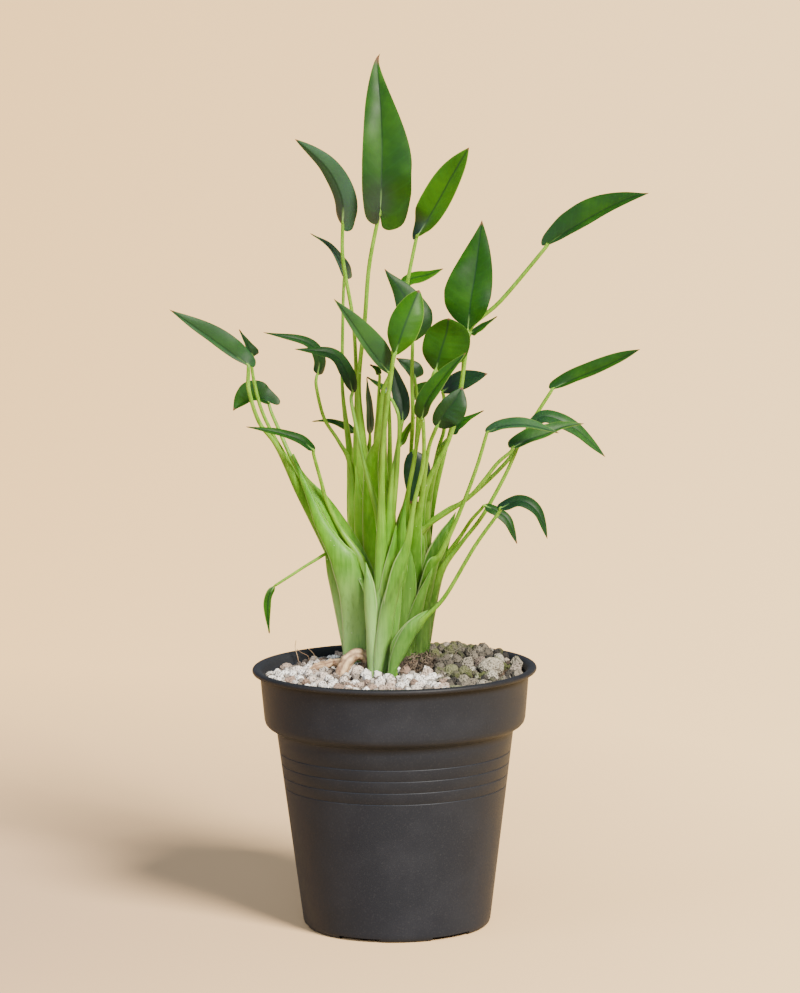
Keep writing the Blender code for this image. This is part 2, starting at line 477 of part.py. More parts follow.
def half_rows(spec, half, way):
    """The edge and halfway points of each row of one half of a blade."""
    outline = half_outline(spec, half)
    found, length = rib_places(spec, [place for place, back, out in outline])
    rows = []
    for (place, back, out), (middle, heading), rib in zip(outline, found, rib_rows(spec)[0]):
        beside = way * unit(np.array((-heading[2], 0.0, heading[0])))
        outward = unit(beside + AWAY * half[1])
        upper = np.cross(heading, outward) * way
        wave = spec["wave"] * math.sin(place * 14 + way) * out / (out + 4.0)
        edge = middle - heading * back + outward * out + upper * wave
        halfway = (rib + edge) / 2 - upper * 0.07 * out
        rows.append((edge, halfway))
    return rows


def make_blade(title, spec, material):
    """A thin closed blade, split into the same triangles on both of its faces."""
    left = half_rows(spec, spec["left"], 1)
    right = half_rows(spec, spec["right"], -1)
    starts, length = rib_rows(spec)
    rows = []
    for (left_edge, left_half), middle, (right_edge, right_half) in zip(left, starts, right):
        rows.append([left_edge, left_half, middle, right_half, right_edge])
    if length < SHORT_BLADE:
        rows = [row for index, row in enumerate(rows) if index not in SHORT_BLADE_SKIPS]
    tip = rib_places(spec, [1.0])[0][0][0]
    surface = [point for row in rows for point in row] + [tip]
    last = len(surface) - 1
    triangles = []
    for index in range(len(rows) - 1):
        for column in range(4):
            a = index * 5 + column
            triangles.append((a, a + 1, a + 6) if column < 2 else (a, a + 1, a + 5))
            triangles.append((a, a + 6, a + 5) if column < 2 else (a + 1, a + 6, a + 5))
    for column in range(4):
        triangles.append((last - 5 + column, last - 4 + column, last))
    return thicken("leaf_" + title, surface, triangles, material)


def thicken(name, surface, triangles, material):
    """Give a sheet of triangles its thickness, half on each side."""
    points = np.array(surface)
    normals = np.zeros_like(points)
    for a, b, c in triangles:
        across = np.cross(points[b] - points[a], points[c] - points[a])
        for corner in (a, b, c):
            normals[corner] += across
    normals /= np.linalg.norm(normals, axis=1)[:, None]
    bm = bmesh.new()
    upper = [bm.verts.new(point) for point in points + normals * BLADE_THICKNESS / 2]
    lower = [bm.verts.new(point) for point in points - normals * BLADE_THICKNESS / 2]
    edges = {}
    for a, b, c in triangles:
        bm.faces.new((upper[a], upper[b], upper[c]))
        bm.faces.new((lower[c], lower[b], lower[a]))
        for start, finish in ((a, b), (b, c), (c, a)):
            edges[(start, finish)] = edges.get((start, finish), 0) + 1
    for start, finish in edges:
        if (finish, start) not in edges:
            bm.faces.new((upper[finish], upper[start], lower[start]))
            bm.faces.new((upper[finish], lower[start], lower[finish]))
    return finish_mesh(name, bm, material)


def turned(profile, sides):
    """A solid turned round the upright axis from a closed profile of (radius, height)."""
    bm = bmesh.new()
    verts = [bm.verts.new((radius, 0.0, height)) for radius, height in profile]
    edges = [bm.edges.new((verts[i], verts[(i + 1) % len(verts)])) for i in range(len(verts))]
    bmesh.ops.spin(bm, geom=verts + edges, cent=(0, 0, 0), axis=(0, 0, 1), angle=2 * math.pi, steps=sides)
    bmesh.ops.remove_doubles(bm, verts=bm.verts, dist=0.001)
    bmesh.ops.dissolve_degenerate(bm, edges=bm.edges, dist=0.001)
    return bm


def pot_profile():
    inner_step = STEP_RADIUS - WALL
    return [(0.0, 0.0), (7.0, 0.0), (8.0, FLOOR_UNDER), (31.0, FLOOR_UNDER), (32.0, 0.0), (38.2, 0.0),
            (39.5, 0.9), (BASE_RADIUS, 3.4), (STEP_RADIUS, STEP_HEIGHT), (51.4, 84.4), (53.8, 86.2),
            (COLLAR_FOOT_RADIUS, COLLAR_FOOT), (COLLAR_TOP_RADIUS, LIP_TOP - LIP_DEPTH),
            (LIP_RADIUS - 0.7, LIP_TOP - LIP_DEPTH + 0.1), (LIP_RADIUS, LIP_TOP - 1.2),
            (LIP_RADIUS - 0.7, LIP_TOP), (57.2, LIP_TOP), (56.0, LIP_TOP - 0.9),
            (COLLAR_TOP_RADIUS - WALL, LIP_TOP - LIP_DEPTH), (COLLAR_FOOT_RADIUS - WALL, COLLAR_FOOT + 0.9),
            (52.0, 86.9), (inner_step + 1.0, 85.2), (inner_step, STEP_HEIGHT + 0.4),
            (BASE_RADIUS - WALL, FLOOR_TOP + 1.0), (BASE_RADIUS - WALL - 1.0, FLOOR_TOP), (0.0, FLOOR_TOP)]


def box(name, size, centre, turn):
    bm = bmesh.new()
    bmesh.ops.create_cube(bm, size=1.0)
    bmesh.ops.scale(bm, vec=size, verts=bm.verts)
    bmesh.ops.translate(bm, vec=centre, verts=bm.verts)
    bmesh.ops.rotate(bm, matrix=Matrix.Rotation(turn, 3, "Z"), verts=bm.verts)
    return finish_mesh(name, bm, smooth=False)


def rod(name, centre, radii, low, high, sides):
    """A plain upright cutter, round or oval."""
    bm = bmesh.new()
    bmesh.ops.create_cone(bm, cap_ends=True, segments=sides, radius1=1.0, radius2=1.0, depth=1.0)
    bmesh.ops.scale(bm, vec=(radii[0], radii[1], high - low), verts=bm.verts)
    bmesh.ops.translate(bm, vec=(centre[0], centre[1], (low + high) / 2), verts=bm.verts)
    return finish_mesh(name, bm, smooth=False)


def group_of(name, things):
    group = bpy.data.collections.new(name)
    bpy.context.scene.collection.children.link(group)
    for thing in things:
        bpy.context.scene.collection.objects.unlink(thing)
        group.objects.link(thing)
    return group


def make_pot(materials):
    """The pot, with gaps between its feet and drain holes in its floor."""
    pot = finish_mesh("pot", turned(pot_profile(), POT_SIDES), materials["pot"])
    cutters = []
    for index in range(FOOT_COUNT):
        angle = FOOT_FIRST_ANGLE + 2 * math.pi * index / FOOT_COUNT
        cutters.append(box("gap", (14.0, FOOT_GAP_WIDTH, 2 * FLOOR_UNDER), (37.0, 0, 0), angle))
        centre = (DRAIN_CIRCLE * math.cos(angle), DRAIN_CIRCLE * math.sin(angle))
        cutters.append(rod("drain", centre, (DRAIN_RADIUS, DRAIN_RADIUS), 0.5, 5.0, 10))
    apply_boolean(pot, "DIFFERENCE", group=group_of("pot cutters", cutters))
    pot.data.shade_smooth()
    pot.data.set_sharp_from_angle(angle=math.radians(35))
    return pot


def crown_holes(low, high):
    """Plain holes for the crowns to stand in."""
    holes = []
    for name, crown in CROWNS.items():
        inside = [point for point in crown if point[2] <= high]
        widest = max(point[3] for point in inside)
        middle = [sum(point[axis] for point in inside) / len(inside) for axis in (0, 1)]
        radius = (widest / 2 + 1.2) / math.cos(math.pi / 14)
        holes.append(rod("hole " + name, middle, (radius, radius), low, high + 12.0, 14))
    return holes


def root_ball_rings():
    x, y, wide, deep, top = ROOT_BALL
    rng = random.Random(4)
    rings = []
    for share, height in ((1.0, MIX_TOP - 6.0), (1.0, 107.5), (0.72, 109.8), (0.32, top)):
        ring = []
        for side in range(12):
            angle = 2 * math.pi * side / 12
            rough = share * rng.uniform(0.86, 1.0)
            ring.append((x + wide * rough * math.cos(angle), y + deep * rough * math.sin(angle),
                         height + rng.uniform(-0.4, 0.4)))
        rings.append(ring)
    return rings


def make_mix(materials):
    """The potting mix, with the top of the old root ball standing up between the crowns."""
    wall = WALL + 0.7
    rim = COLLAR_FOOT_RADIUS - wall
    profile = [(0.0, FLOOR_TOP + GAP), (BASE_RADIUS - wall - 1.0, FLOOR_TOP + GAP),
               (STEP_RADIUS - wall, STEP_HEIGHT), (51.1, 87.9), (rim, COLLAR_FOOT + 2.0),
               (rim + 0.9, MIX_TOP), (0.0, MIX_TOP)]
    mix = finish_mesh("potting_mix", turned(profile, POT_SIDES), materials["mix"])
    bm = bmesh.new()
    rings = [[bm.verts.new(point) for point in ring] for ring in root_ball_rings()]
    for lower, upper in zip(rings, rings[1:]):
        for side in range(12):
            following = (side + 1) % 12
            bm.faces.new((lower[side], lower[following], upper[following], upper[side]))
    bm.faces.new(rings[0])
    bm.faces.new(rings[-1])
    apply_boolean(mix, "UNION", finish_mesh("root ball", bm))
    apply_boolean(mix, "DIFFERENCE", group=group_of("mix holes", crown_holes(CORE_FOOT - GAP, MIX_TOP)))
    return mix


def gravel_height(x, y):
    height = GRAVEL_LEVEL
    for cx, cy, rise, spread in (CROWN_MOUND, RIGHT_HEAP):
        height += rise * math.exp(-((x - cx) ** 2 + (y - cy) ** 2) / (2 * spread ** 2))
    return height


def is_mossy(x, y):
    """The stones right of a slanting line are the older, grey-brown and mossy ones."""
    return x > 17.0 - 0.22 * y


def stone_layout():
    """The stones of the top layer on a loosened honeycomb: their middles, and the corners they share."""
    rng = random.Random(11)
    across = STONE_SPACING
    down = across * math.sqrt(3) / 2
    reach = int(GRAVEL_RADIUS / down) + 2
    stones = {}
    for row in range(-reach, reach + 1):
        for column in range(-reach, reach + 1):
            x = (column + 0.5 * (row % 2)) * across
            y = row * down
            if math.hypot(x, y) < GRAVEL_RADIUS - 0.36 * across:
                shift = (rng.uniform(-0.7, 0.7), rng.uniform(-0.7, 0.7))
                stones[(row, column)] = (x, y, shift, rng.uniform(-0.6, 0.6), rng.uniform(0, 2.1))
    return stones


def stone_corners(x, y):
    """The six corners of a stone's cell, each with a key that its neighbours share."""
    radius = STONE_SPACING / math.sqrt(3)
    corners = []
    for index in range(6):
        angle = math.pi / 6 + math.pi / 3 * index
        place = (x + radius * math.cos(angle), y + radius * math.sin(angle))
        key = (round(2 * place[0] / STONE_SPACING), round(2 * place[1] / radius))
        corners.append((key, place))
    return corners


def make_gravel(name, mossy, material):
    """A layer of stones in relief, closed by a wall and a flat underside."""
    stones = stone_layout()
    shared = {}
    for x, y, shift, lift, spin in stones.values():
        for key, place in stone_corners(x, y):
            shared.setdefault(key, []).append((x, y))
    bm = bmesh.new()
    corner_verts = {}

    def corner_vert(key, place):
        if key in corner_verts:
            return corner_verts[key]
        owners = shared[key]
        x, y = place
        if len(owners) < 3:
            scale = GRAVEL_RADIUS / math.hypot(x, y)
            x, y = x * scale, y * scale
        own = [owner for owner in owners if is_mossy(*owner) == mossy]
        if len(own) < len(owners):
            aim = Vector((sum(o[0] for o in own) / len(own) - x, sum(o[1] for o in own) / len(own) - y))
            aim.normalize()
            x += aim.x * 0.3
            y += aim.y * 0.3
        vert = bm.verts.new((x, y, stone_floor(x, y)))
        corner_verts[key] = vert
        return vert

    for x, y, shift, lift, spin in stones.values():
        if is_mossy(x, y) != mossy:
            continue
        ring = [corner_vert(key, place) for key, place in stone_corners(x, y)]
        top = []
        for index in range(3):
            angle = spin + 2 * math.pi / 3 * index
            px = x + shift[0] + STONE_TOP * STONE_SPACING * math.cos(angle)
            py = y + shift[1] + STONE_TOP * STONE_SPACING * math.sin(angle)
            inward = min(1.0, (GRAVEL_RADIUS - 0.7) / math.hypot(px, py))
            px, py = px * inward, py * inward
            top.append(bm.verts.new((px, py, stone_floor(x, y) + STONE_RELIEF * stone_share(x, y) + lift)))
        cap_stone(bm, ring, top)
    close_below(bm)
    return finish_mesh(name, bm, material, smooth=False)


def stone_floor(x, y):
    """The height of the clefts between stones, let down into a nest under the large pebble."""
    px, py, pz = PEBBLE_CENTRE
    away = math.hypot(x - px, y - py)
    level = gravel_height(x, y) - 0.5 * STONE_RELIEF
    if away < 8.0:
        level = min(level, pz - PEBBLE_RADII[2] - 0.6 + max(away - 3.0, 0.0) * 0.8)
    return level


def stone_share(x, y):
    px, py, pz = PEBBLE_CENTRE
    return 0.0 if math.hypot(x - px, y - py) < 8.0 else 1.0


def cap_stone(bm, ring, top):
    """Join a six-cornered foot to a three-cornered top."""
    nearest = []
    for vert in ring:
        nearest.append(min(range(3), key=lambda index: (top[index].co - vert.co).xy.length))
    for index in range(6):
        following = (index + 1) % 6
        a, b = ring[index], ring[following]
        if nearest[index] == nearest[following]:
            bm.faces.new((a, b, top[nearest[index]]))
        else:
            bm.faces.new((a, b, top[nearest[following]]))
            bm.faces.new((a, top[nearest[following]], top[nearest[index]]))
    bm.faces.new(top)


def close_below(bm):
    """Drop a wall from the open edge to a flat underside."""
    border = [edge for edge in bm.edges if edge.is_boundary]
    made = bmesh.ops.extrude_edge_only(bm, edges=border)
    lower = [item for item in made["geom"] if isinstance(item, bmesh.types.BMVert)]
    for vert in lower:
        vert.co.z = GRAVEL_UNDER
    rim = [edge for edge in bm.edges if edge.is_boundary]
    bmesh.ops.contextual_create(bm, geom=rim)


def make_pebble(materials):
    bm = bmesh.new()
    bmesh.ops.create_icosphere(bm, subdivisions=2, radius=1.0)
    rng = random.Random(9)
    for vert in bm.verts:
        vert.co *= rng.uniform(0.93, 1.0)
    bmesh.ops.scale(bm, vec=PEBBLE_RADII, verts=bm.verts)
    bmesh.ops.translate(bm, vec=PEBBLE_CENTRE, verts=bm.verts)
    return finish_mesh("large_pebble", bm, materials["pebble"])


ROOT_SIDES = 8
ROOT_RINGS = 11
OLD_ROOT = [(-21.5, 3, 104, 4.4), (-21, 4, 108, 4.6), (-19, 7, 112, 4.4), (-15.5, 9, 114.2, 4.2),
            (-12.5, 11, 113, 3.8), (-11.5, 12.5, 109, 3.4), (-11.5, 13, 104, 3.2)]


def make_old_root(materials):
    """The woody old root that arches out of the gravel and back in."""
    course = curve_through(OLD_ROOT, ROOT_RINGS)
    return finish_mesh("old_root", tube(course, ROOT_SIDES, lambda width: width), materials["old_root"])


def gravel_cutters():
    x, y, wide, deep, top = ROOT_BALL
    cutters = crown_holes(GRAVEL_UNDER - 2.0, 112.0)
    cutters.append(rod("hole ball", (x, y), (wide + 0.5, deep + 0.5), GRAVEL_UNDER - 2.0, 120.0, 16))
    course = curve_through([(x, y, z, width + 1.1) for x, y, z, width in OLD_ROOT], ROOT_RINGS)
    course[0][2] -= 4.0
    course[-1][2] -= 4.0
    cutters.append(finish_mesh("root bed", tube(course, ROOT_SIDES, lambda width: width)))
    return cutters


def build():
    clear_scene()
    materials = {name: make_material(name) for name in MATERIALS}
    make_pot(materials)
    make_mix(materials)
    for name, mossy, finish in (("gravel_white", False, "pumice"), ("gravel_mossy", True, "mossy_pumice")):
        gravel = make_gravel(name, mossy, materials[finish])
        apply_boolean(gravel, "DIFFERENCE", group=group_of("gravel holes", gravel_cutters()))
        drop_scraps(gravel)
    make_pebble(materials)
    make_old_root(materials)
    for name in CROWNS:
        make_shoot(name, materials)
    for title, spec in LEAVES.items():
        make_blade(title, spec, materials["blade"])


build()
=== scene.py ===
# %% [markdown]
# # A small alocasia in a nursery pot
# The plant stands in a plain plastic pot that is topped with pumice gravel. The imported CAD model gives
# the size and the place of every part. This script dresses it: each cell makes one piece or one finish
# of the real plant, in millimetres, and puts it where the model says.

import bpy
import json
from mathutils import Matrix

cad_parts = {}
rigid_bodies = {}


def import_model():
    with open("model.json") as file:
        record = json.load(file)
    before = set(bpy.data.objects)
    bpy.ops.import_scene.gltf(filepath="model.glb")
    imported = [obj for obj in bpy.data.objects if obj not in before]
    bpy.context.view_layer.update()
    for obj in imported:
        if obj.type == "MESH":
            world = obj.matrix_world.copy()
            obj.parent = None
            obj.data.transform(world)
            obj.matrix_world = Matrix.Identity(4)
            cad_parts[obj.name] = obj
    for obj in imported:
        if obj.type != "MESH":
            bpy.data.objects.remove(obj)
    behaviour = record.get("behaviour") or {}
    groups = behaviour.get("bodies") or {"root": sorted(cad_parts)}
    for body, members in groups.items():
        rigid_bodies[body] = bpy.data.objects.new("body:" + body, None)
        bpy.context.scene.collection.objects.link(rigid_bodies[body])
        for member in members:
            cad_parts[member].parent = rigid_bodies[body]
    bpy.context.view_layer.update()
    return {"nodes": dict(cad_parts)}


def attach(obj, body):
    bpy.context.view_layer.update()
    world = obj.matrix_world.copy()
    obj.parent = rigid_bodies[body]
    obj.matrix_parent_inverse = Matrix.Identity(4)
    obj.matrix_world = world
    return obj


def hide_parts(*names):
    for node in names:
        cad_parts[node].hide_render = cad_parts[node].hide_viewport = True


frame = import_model()
print("nodes of the model:", len(frame["nodes"]))

# %% Tools that every step uses
import json
import math
import random

import bmesh
import bpy
import numpy as np
from mathutils import Matrix, Vector, noise

MM = 0.001


def unit(vector):
    vector = np.array(vector, float)
    return vector / np.linalg.norm(vector)


def rgb(red, green, blue):
    """A colour as a screen shows it, 0 to 255, turned into the light values that Blender works in."""
    linear = []
    for level in (red, green, blue):
        share = level / 255
        linear.append(share / 12.92 if share <= 0.04045 else ((share + 0.055) / 1.055) ** 2.4)
    return (*linear, 1.0)


def add_object(name, data):
    """Put a new object that shows this data into the scene."""
    made = bpy.data.objects.new(name, data)
    bpy.context.scene.collection.objects.link(made)
    return made


def angles_round(count):
    """Evenly spaced angles, once round."""
    return [2 * math.pi * index / count for index in range(count)]


# %% [markdown]
# ## The camera
# The photo was taken from about the height of the plant's top, 1.7 m away, with a long lens. The view
# was worked out from the ellipses of the pot's lip, collar and foot. A long lens keeps the pot's sides
# almost straight. The camera is set down once, and every piece is then judged from it.

# %% Camera
CAMERA_PLACE = (3.09, -1700.0, 404.0)
CAMERA_PITCH = math.radians(7.43)
CAMERA_ROLL = 0.0103
FOCAL_PIXELS = 4085.6
PICTURE_HEIGHT = 993
SENSOR = 36.0

camera_data = bpy.data.cameras.new("camera")
camera_data.sensor_fit = "VERTICAL"
camera_data.sensor_height = SENSOR
camera_data.lens = FOCAL_PIXELS / PICTURE_HEIGHT * SENSOR
camera = add_object("camera", camera_data)
looking = Matrix.Rotation(math.pi / 2 - CAMERA_PITCH, 4, "X") @ Matrix.Rotation(-CAMERA_ROLL, 4, "Z")
camera.matrix_world = Matrix.Translation(Vector(CAMERA_PLACE) * MM) @ looking
bpy.context.scene.camera = camera
print("lens, mm:", round(camera_data.lens, 1))

# %% [markdown]
# ## Nodes made in code
# A finish is a small graph of nodes. Short helpers keep the graphs readable: one adds a node and joins
# its inputs, and the others add the kinds that come up most. The patterns read the object's own
# coordinates, which are metres here, so a scale of 400 gives marks about 2.5 mm wide.

# %% Helpers for node graphs


def join_inputs(tree, node, inputs):
    """Give a node its inputs. Each is either a plain value or another node's output to join to it."""
    for key, value in inputs.items():
        if isinstance(value, bpy.types.NodeSocket):
            tree.links.new(value, node.inputs[key])
        else:
            node.inputs[key].default_value = value


def add_node(tree, kind, inputs=None, **settings):
    made = tree.nodes.new(kind)
    for key, value in settings.items():
        setattr(made, key, value)
    join_inputs(tree, made, inputs or {})
    return made


def start_material(name):
    """A new material, its nodes, its shader and the place on the object."""
    material = bpy.data.materials.new(name)
    material.use_nodes = True
    tree = material.node_tree
    place = add_node(tree, "ShaderNodeTexCoord").outputs["Object"]
    return material, tree, tree.nodes["Principled BSDF"], place


def blend(tree, share, first, second):
    """Blend from the first colour to the second by a share from 0 to 1."""
    made = add_node(tree, "ShaderNodeMix", {0: share, 6: first, 7: second}, data_type="RGBA")
    return made.outputs[2]


def map_range(tree, value, low, high, start=0.0, finish=1.0):
    """Stretch low..high to start..finish, and stop at both ends."""
    inputs = {"Value": value, 1: low, 2: high, 3: start, 4: finish}
    return add_node(tree, "ShaderNodeMapRange", inputs).outputs[0]


def mottle(tree, place, scale, detail=2.0, rough=0.5):
    """Soft random blotches between 0 and 1."""
    inputs = {"Vector": place, "Scale": scale, "Detail": detail, "Roughness": rough}
    return add_node(tree, "ShaderNodeTexNoise", inputs).outputs[0]


def math_node(tree, operation, first, second=0.0):
    return add_node(tree, "ShaderNodeMath", {0: first, 1: second}, operation=operation).outputs[0]


def split(tree, place):
    """The parts of a place: sideways, back and up."""
    return add_node(tree, "ShaderNodeSeparateXYZ", {0: place}).outputs


def distance_from(tree, place, centre):
    inputs = {0: place, 1: centre}
    return add_node(tree, "ShaderNodeVectorMath", inputs, operation="DISTANCE").outputs["Value"]


def attribute(tree, name):
    """A number that the mesh carries at each of its points."""
    return add_node(tree, "ShaderNodeAttribute", attribute_name=name).outputs["Fac"]


def raise_surface(tree, shader, height, strength, distance_mm):
    """Relief too fine for the mesh."""
    inputs = {"Height": height, "Strength": strength, "Distance": distance_mm * MM}
    join_inputs(tree, shader, {"Normal": add_node(tree, "ShaderNodeBump", inputs).outputs[0]})


# %% [markdown]
# ## Floor and light
# The plant stands on a wide, warm floor that fills the whole view. Its colour is painted paler toward
# the right and dimmer toward the left, a painted falloff of light, and darker round the shadow, a
# painted shadow. A sun lights the far floor as brightly as the near floor. It stands in front and to the
# right, so the shadow falls back and to the left, and its wide disc blurs the shadow.
# Two large soft lights act as a window on the left and a white screen in front: they put a sheen on the
# waxy leaves and lift the dark pot. The floor is laid out in metres, and the soft lights in millimetres.

# %% Floor and light
FLOOR_REACH = 400.0
# the dim and bright floor colours are a painted falloff of light, and the dusk colour is a painted shadow
FLOOR_PAINTED_DIM = rgb(234, 190, 128)
FLOOR_PAINTED_BRIGHT = rgb(255, 217, 158)
FLOOR_PAINTED_SHADOW = rgb(172, 145, 120)
FLOOR_PAINTED_SHADOW_PLACE = (-0.36, 0.05, 0.0)
FLOOR_PAINTED_SHADOW_REACH = (0.1, 0.62)
FLOOR_PAINTED_SHADOW_SHARE = 0.9
FLOOR_FAN_FROM = 1.9                   # the tones fan out from this far in front of the pot
FLOOR_FAN_LEAST = 1.2
FLOOR_FAN_SPREAD = (-0.15, 0.13)       # sideways over the distance, where it is dim and where it is pale
SUN_COLOUR = rgb(255, 247, 236)[:3]
SUN_STRENGTH = 12.6
SUN_SOFTNESS = math.radians(20)
SUN_FROM = (0.47, -0.65, 0.6)
SUN_SHINE = 0.14
SKY_COLOUR = rgb(226, 236, 255)
SKY_STRENGTH = 0.44
SOFT_LIGHT_COLOUR = rgb(230, 240, 255)[:3]
SOFT_LIGHTS = (        # name, place, width, height, power, share for matt surfaces, share for gloss
    ("left window", (-1300.0, -700.0, 900.0), 1100.0, 1100.0, 12.0, 0.3, 0.5),
    ("front screen", (-350.0, -2300.0, 1100.0), 1600.0, 700.0, 32.0, 1.0, 0.12))
SOFT_LIGHT_AIM = Vector((0.0, 0.0, 0.2))

floor_mesh = bpy.data.meshes.new("floor")
corners = [(x * FLOOR_REACH, y * FLOOR_REACH, 0) for x, y in ((-1, -1), (1, -1), (1, 1), (-1, 1))]
floor_mesh.from_pydata(corners, [], [(0, 1, 2, 3)])
floor = add_object("floor", floor_mesh)
floor_finish, tree, shader, place = start_material("pale floor")
sideways, backwards = split(tree, place)[:2]
reach = math_node(tree, "MAXIMUM", math_node(tree, "ADD", backwards, FLOOR_FAN_FROM), FLOOR_FAN_LEAST)
# painted light: paler to the right and dimmer to the left, then a painted shadow round the cast shadow
pale = map_range(tree, math_node(tree, "DIVIDE", sideways, reach), *FLOOR_FAN_SPREAD)
away = distance_from(tree, place, FLOOR_PAINTED_SHADOW_PLACE)
painted_shadow = map_range(tree, away, *FLOOR_PAINTED_SHADOW_REACH, FLOOR_PAINTED_SHADOW_SHARE, 0.0)
floor_colour = blend(tree, painted_shadow, blend(tree, pale, FLOOR_PAINTED_DIM, FLOOR_PAINTED_BRIGHT), FLOOR_PAINTED_SHADOW)
join_inputs(tree, shader, {"Base Color": floor_colour, "Roughness": 0.9, "Specular IOR Level": 0.1})
floor_mesh.materials.append(floor_finish)

sun_data = bpy.data.lights.new("sun", "SUN")
sun_data.energy = SUN_STRENGTH
sun_data.angle = SUN_SOFTNESS
sun_data.color = SUN_COLOUR
sun_data.specular_factor = SUN_SHINE
sun = add_object("sun", sun_data)
sun.rotation_euler = Vector(SUN_FROM).to_track_quat("Z", "Y").to_euler()

for name, place, width, height, power, matt_share, gloss_share in SOFT_LIGHTS:
    soft_data = bpy.data.lights.new(name, "AREA")
    soft_data.energy = power
    soft_data.shape = "RECTANGLE"
    soft_data.size = width * MM
    soft_data.size_y = height * MM
    soft_data.color = SOFT_LIGHT_COLOUR
    soft_data.diffuse_factor = matt_share
    soft_data.specular_factor = gloss_share
    soft = add_object(name, soft_data)
    soft.location = Vector(place) * MM
    soft.rotation_euler = (soft.location - SOFT_LIGHT_AIM).to_track_quat("Z", "Y").to_euler()

world = bpy.data.worlds.new("soft sky")
world.use_nodes = True
sky = world.node_tree.nodes["Background"]
sky.inputs["Color"].default_value = SKY_COLOUR
sky.inputs["Strength"].default_value = SKY_STRENGTH
bpy.context.scene.world = world
print("floor and light are set")

# %% [markdown]
# ## Making pieces
# Every piece is a closed mesh at the scene's origin. It is drawn in millimetres and shrunk to metres
# when it is finished. The nodes of the model that a piece stands for are hidden, and the piece moves with
# the model's one body.

# %% Helpers for pieces


def finish_piece(name, bm, finish=None, smooth=True, sharp=50.0):
    """Turn a bmesh in millimetres into an object in metres, with its faces outward."""
    bmesh.ops.recalc_face_normals(bm, faces=bm.faces)
    bmesh.ops.scale(bm, vec=(MM, MM, MM), verts=bm.verts)
    mesh = bpy.data.meshes.new(name)
    bm.to_mesh(mesh)
    bm.free()
    piece = add_object(name, mesh)
    if finish:
        mesh.materials.append(finish)
    if smooth:
        mesh.shade_smooth()
        mesh.set_sharp_from_angle(angle=math.radians(sharp))
    return piece


def settle(piece, slot, *nodes):
    """Hide the nodes of the model that a piece stands for, and let the piece move with the model's body. slot
    is not used.
    """
    piece.data.calc_loop_triangles()
    print(piece.name, "has", len(piece.data.loop_triangles), "triangles")
    if nodes:
        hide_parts(*nodes)
    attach(piece, "root")


def store(mesh, name, values):
    """Give every point of a mesh a number that its finish can read."""
    layer = mesh.attributes.new(name, "FLOAT", "POINT")
    layer.data.foreach_set("value", np.array(values, np.float32))


def apply_modifiers(piece):
    """Replace a piece's mesh by what its modifiers make of it, and take them off."""
    bpy.context.view_layer.update()
    graph = bpy.context.evaluated_depsgraph_get()
    made = bpy.data.meshes.new_from_object(piece.evaluated_get(graph))
    piece.modifiers.clear()
    old = piece.data
    piece.data = made
    bpy.data.meshes.remove(old)


# %% [markdown]
# ## The pot
# The pot is thin, matt, dark grey plastic, blown or pressed in a turned mould, so its shape is one
# outline turned round an upright axis: a foot ring, a tapered wall with four fine rings, a stepped
# collar and a rolled lip. The outline is spun here in code, because the grooves and the roll need
# points exactly where they bend. The gaps between the feet and the drain holes are cut out of it.

# %% Pot outline
LIP_RADIUS = 60.0
LIP_TOP = 110.4
LIP_DEPTH = 2.4
COLLAR_TOP_RADIUS = 56.8
COLLAR_FOOT_RADIUS = 55.1
COLLAR_FOOT = 88.6
STEP_RADIUS = 50.0
STEP_HEIGHT = 83.2
BASE_RADIUS = 39.9
WALL = 1.4
FLOOR_UNDER = 1.6
FLOOR_TOP = 3.4
GROOVE_HEIGHTS = (60.1, 65.0, 70.0, 74.9)
GROOVE_DEPTH = 0.17
GROOVE_WIDTH = 0.55
GROOVE_SHAPE = ((-0.5, 0.0), (-0.25, 0.6), (0.0, 1.0), (0.25, 0.6), (0.5, 0.0))    # shares of width and depth
POT_STEPS = 144
LIP_STEPS = 8
SAME_POINT = 0.001

# Stretches of the outline as (radius, height), from the middle of the underside up the outside, over the
# lip and down the inside to the middle of the floor.
UNDERSIDE = [(0.0, 0.0), (7.0, 0.0), (8.0, FLOOR_UNDER), (31.0, FLOOR_UNDER), (32.0, 0.0), (37.6, 0.0)]
HEEL = [(38.6, 0.25), (39.3, 0.9), (39.7, 2.0), (BASE_RADIUS, FLOOR_TOP)]
PLAIN_WALL = (30.0, 81.0)
STEP_OUT = [(STEP_RADIUS, STEP_HEIGHT), (50.5, 83.9), (51.6, 84.5), (53.6, 85.8), (54.6, 86.9),
            (COLLAR_FOOT_RADIUS, COLLAR_FOOT), (55.5, 93.0)]
LIP_UNDER = LIP_TOP - LIP_DEPTH
LIP_THROAT = 57.6
COLLAR_HEAD = [(COLLAR_TOP_RADIUS - 0.15, 106.4), (COLLAR_TOP_RADIUS + 0.2, LIP_UNDER - 0.3),
               (LIP_THROAT, LIP_UNDER)]
INSIDE = [(LIP_THROAT, LIP_TOP - 0.1), (56.6, LIP_TOP - 0.7), (COLLAR_TOP_RADIUS - WALL, LIP_UNDER),
          (COLLAR_FOOT_RADIUS - WALL, COLLAR_FOOT + 0.9), (52.0, 86.9), (STEP_RADIUS - WALL + 1.0, 85.2),
          (STEP_RADIUS - WALL, STEP_HEIGHT + 0.4), (BASE_RADIUS - WALL, FLOOR_TOP + 1.0),
          (BASE_RADIUS - WALL - 1.0, FLOOR_TOP), (0.0, FLOOR_TOP)]


def wall_radius(height):
    """The outer radius of the tapered wall."""
    share = (height - FLOOR_TOP) / (STEP_HEIGHT - FLOOR_TOP)
    return BASE_RADIUS + share * (STEP_RADIUS - BASE_RADIUS)


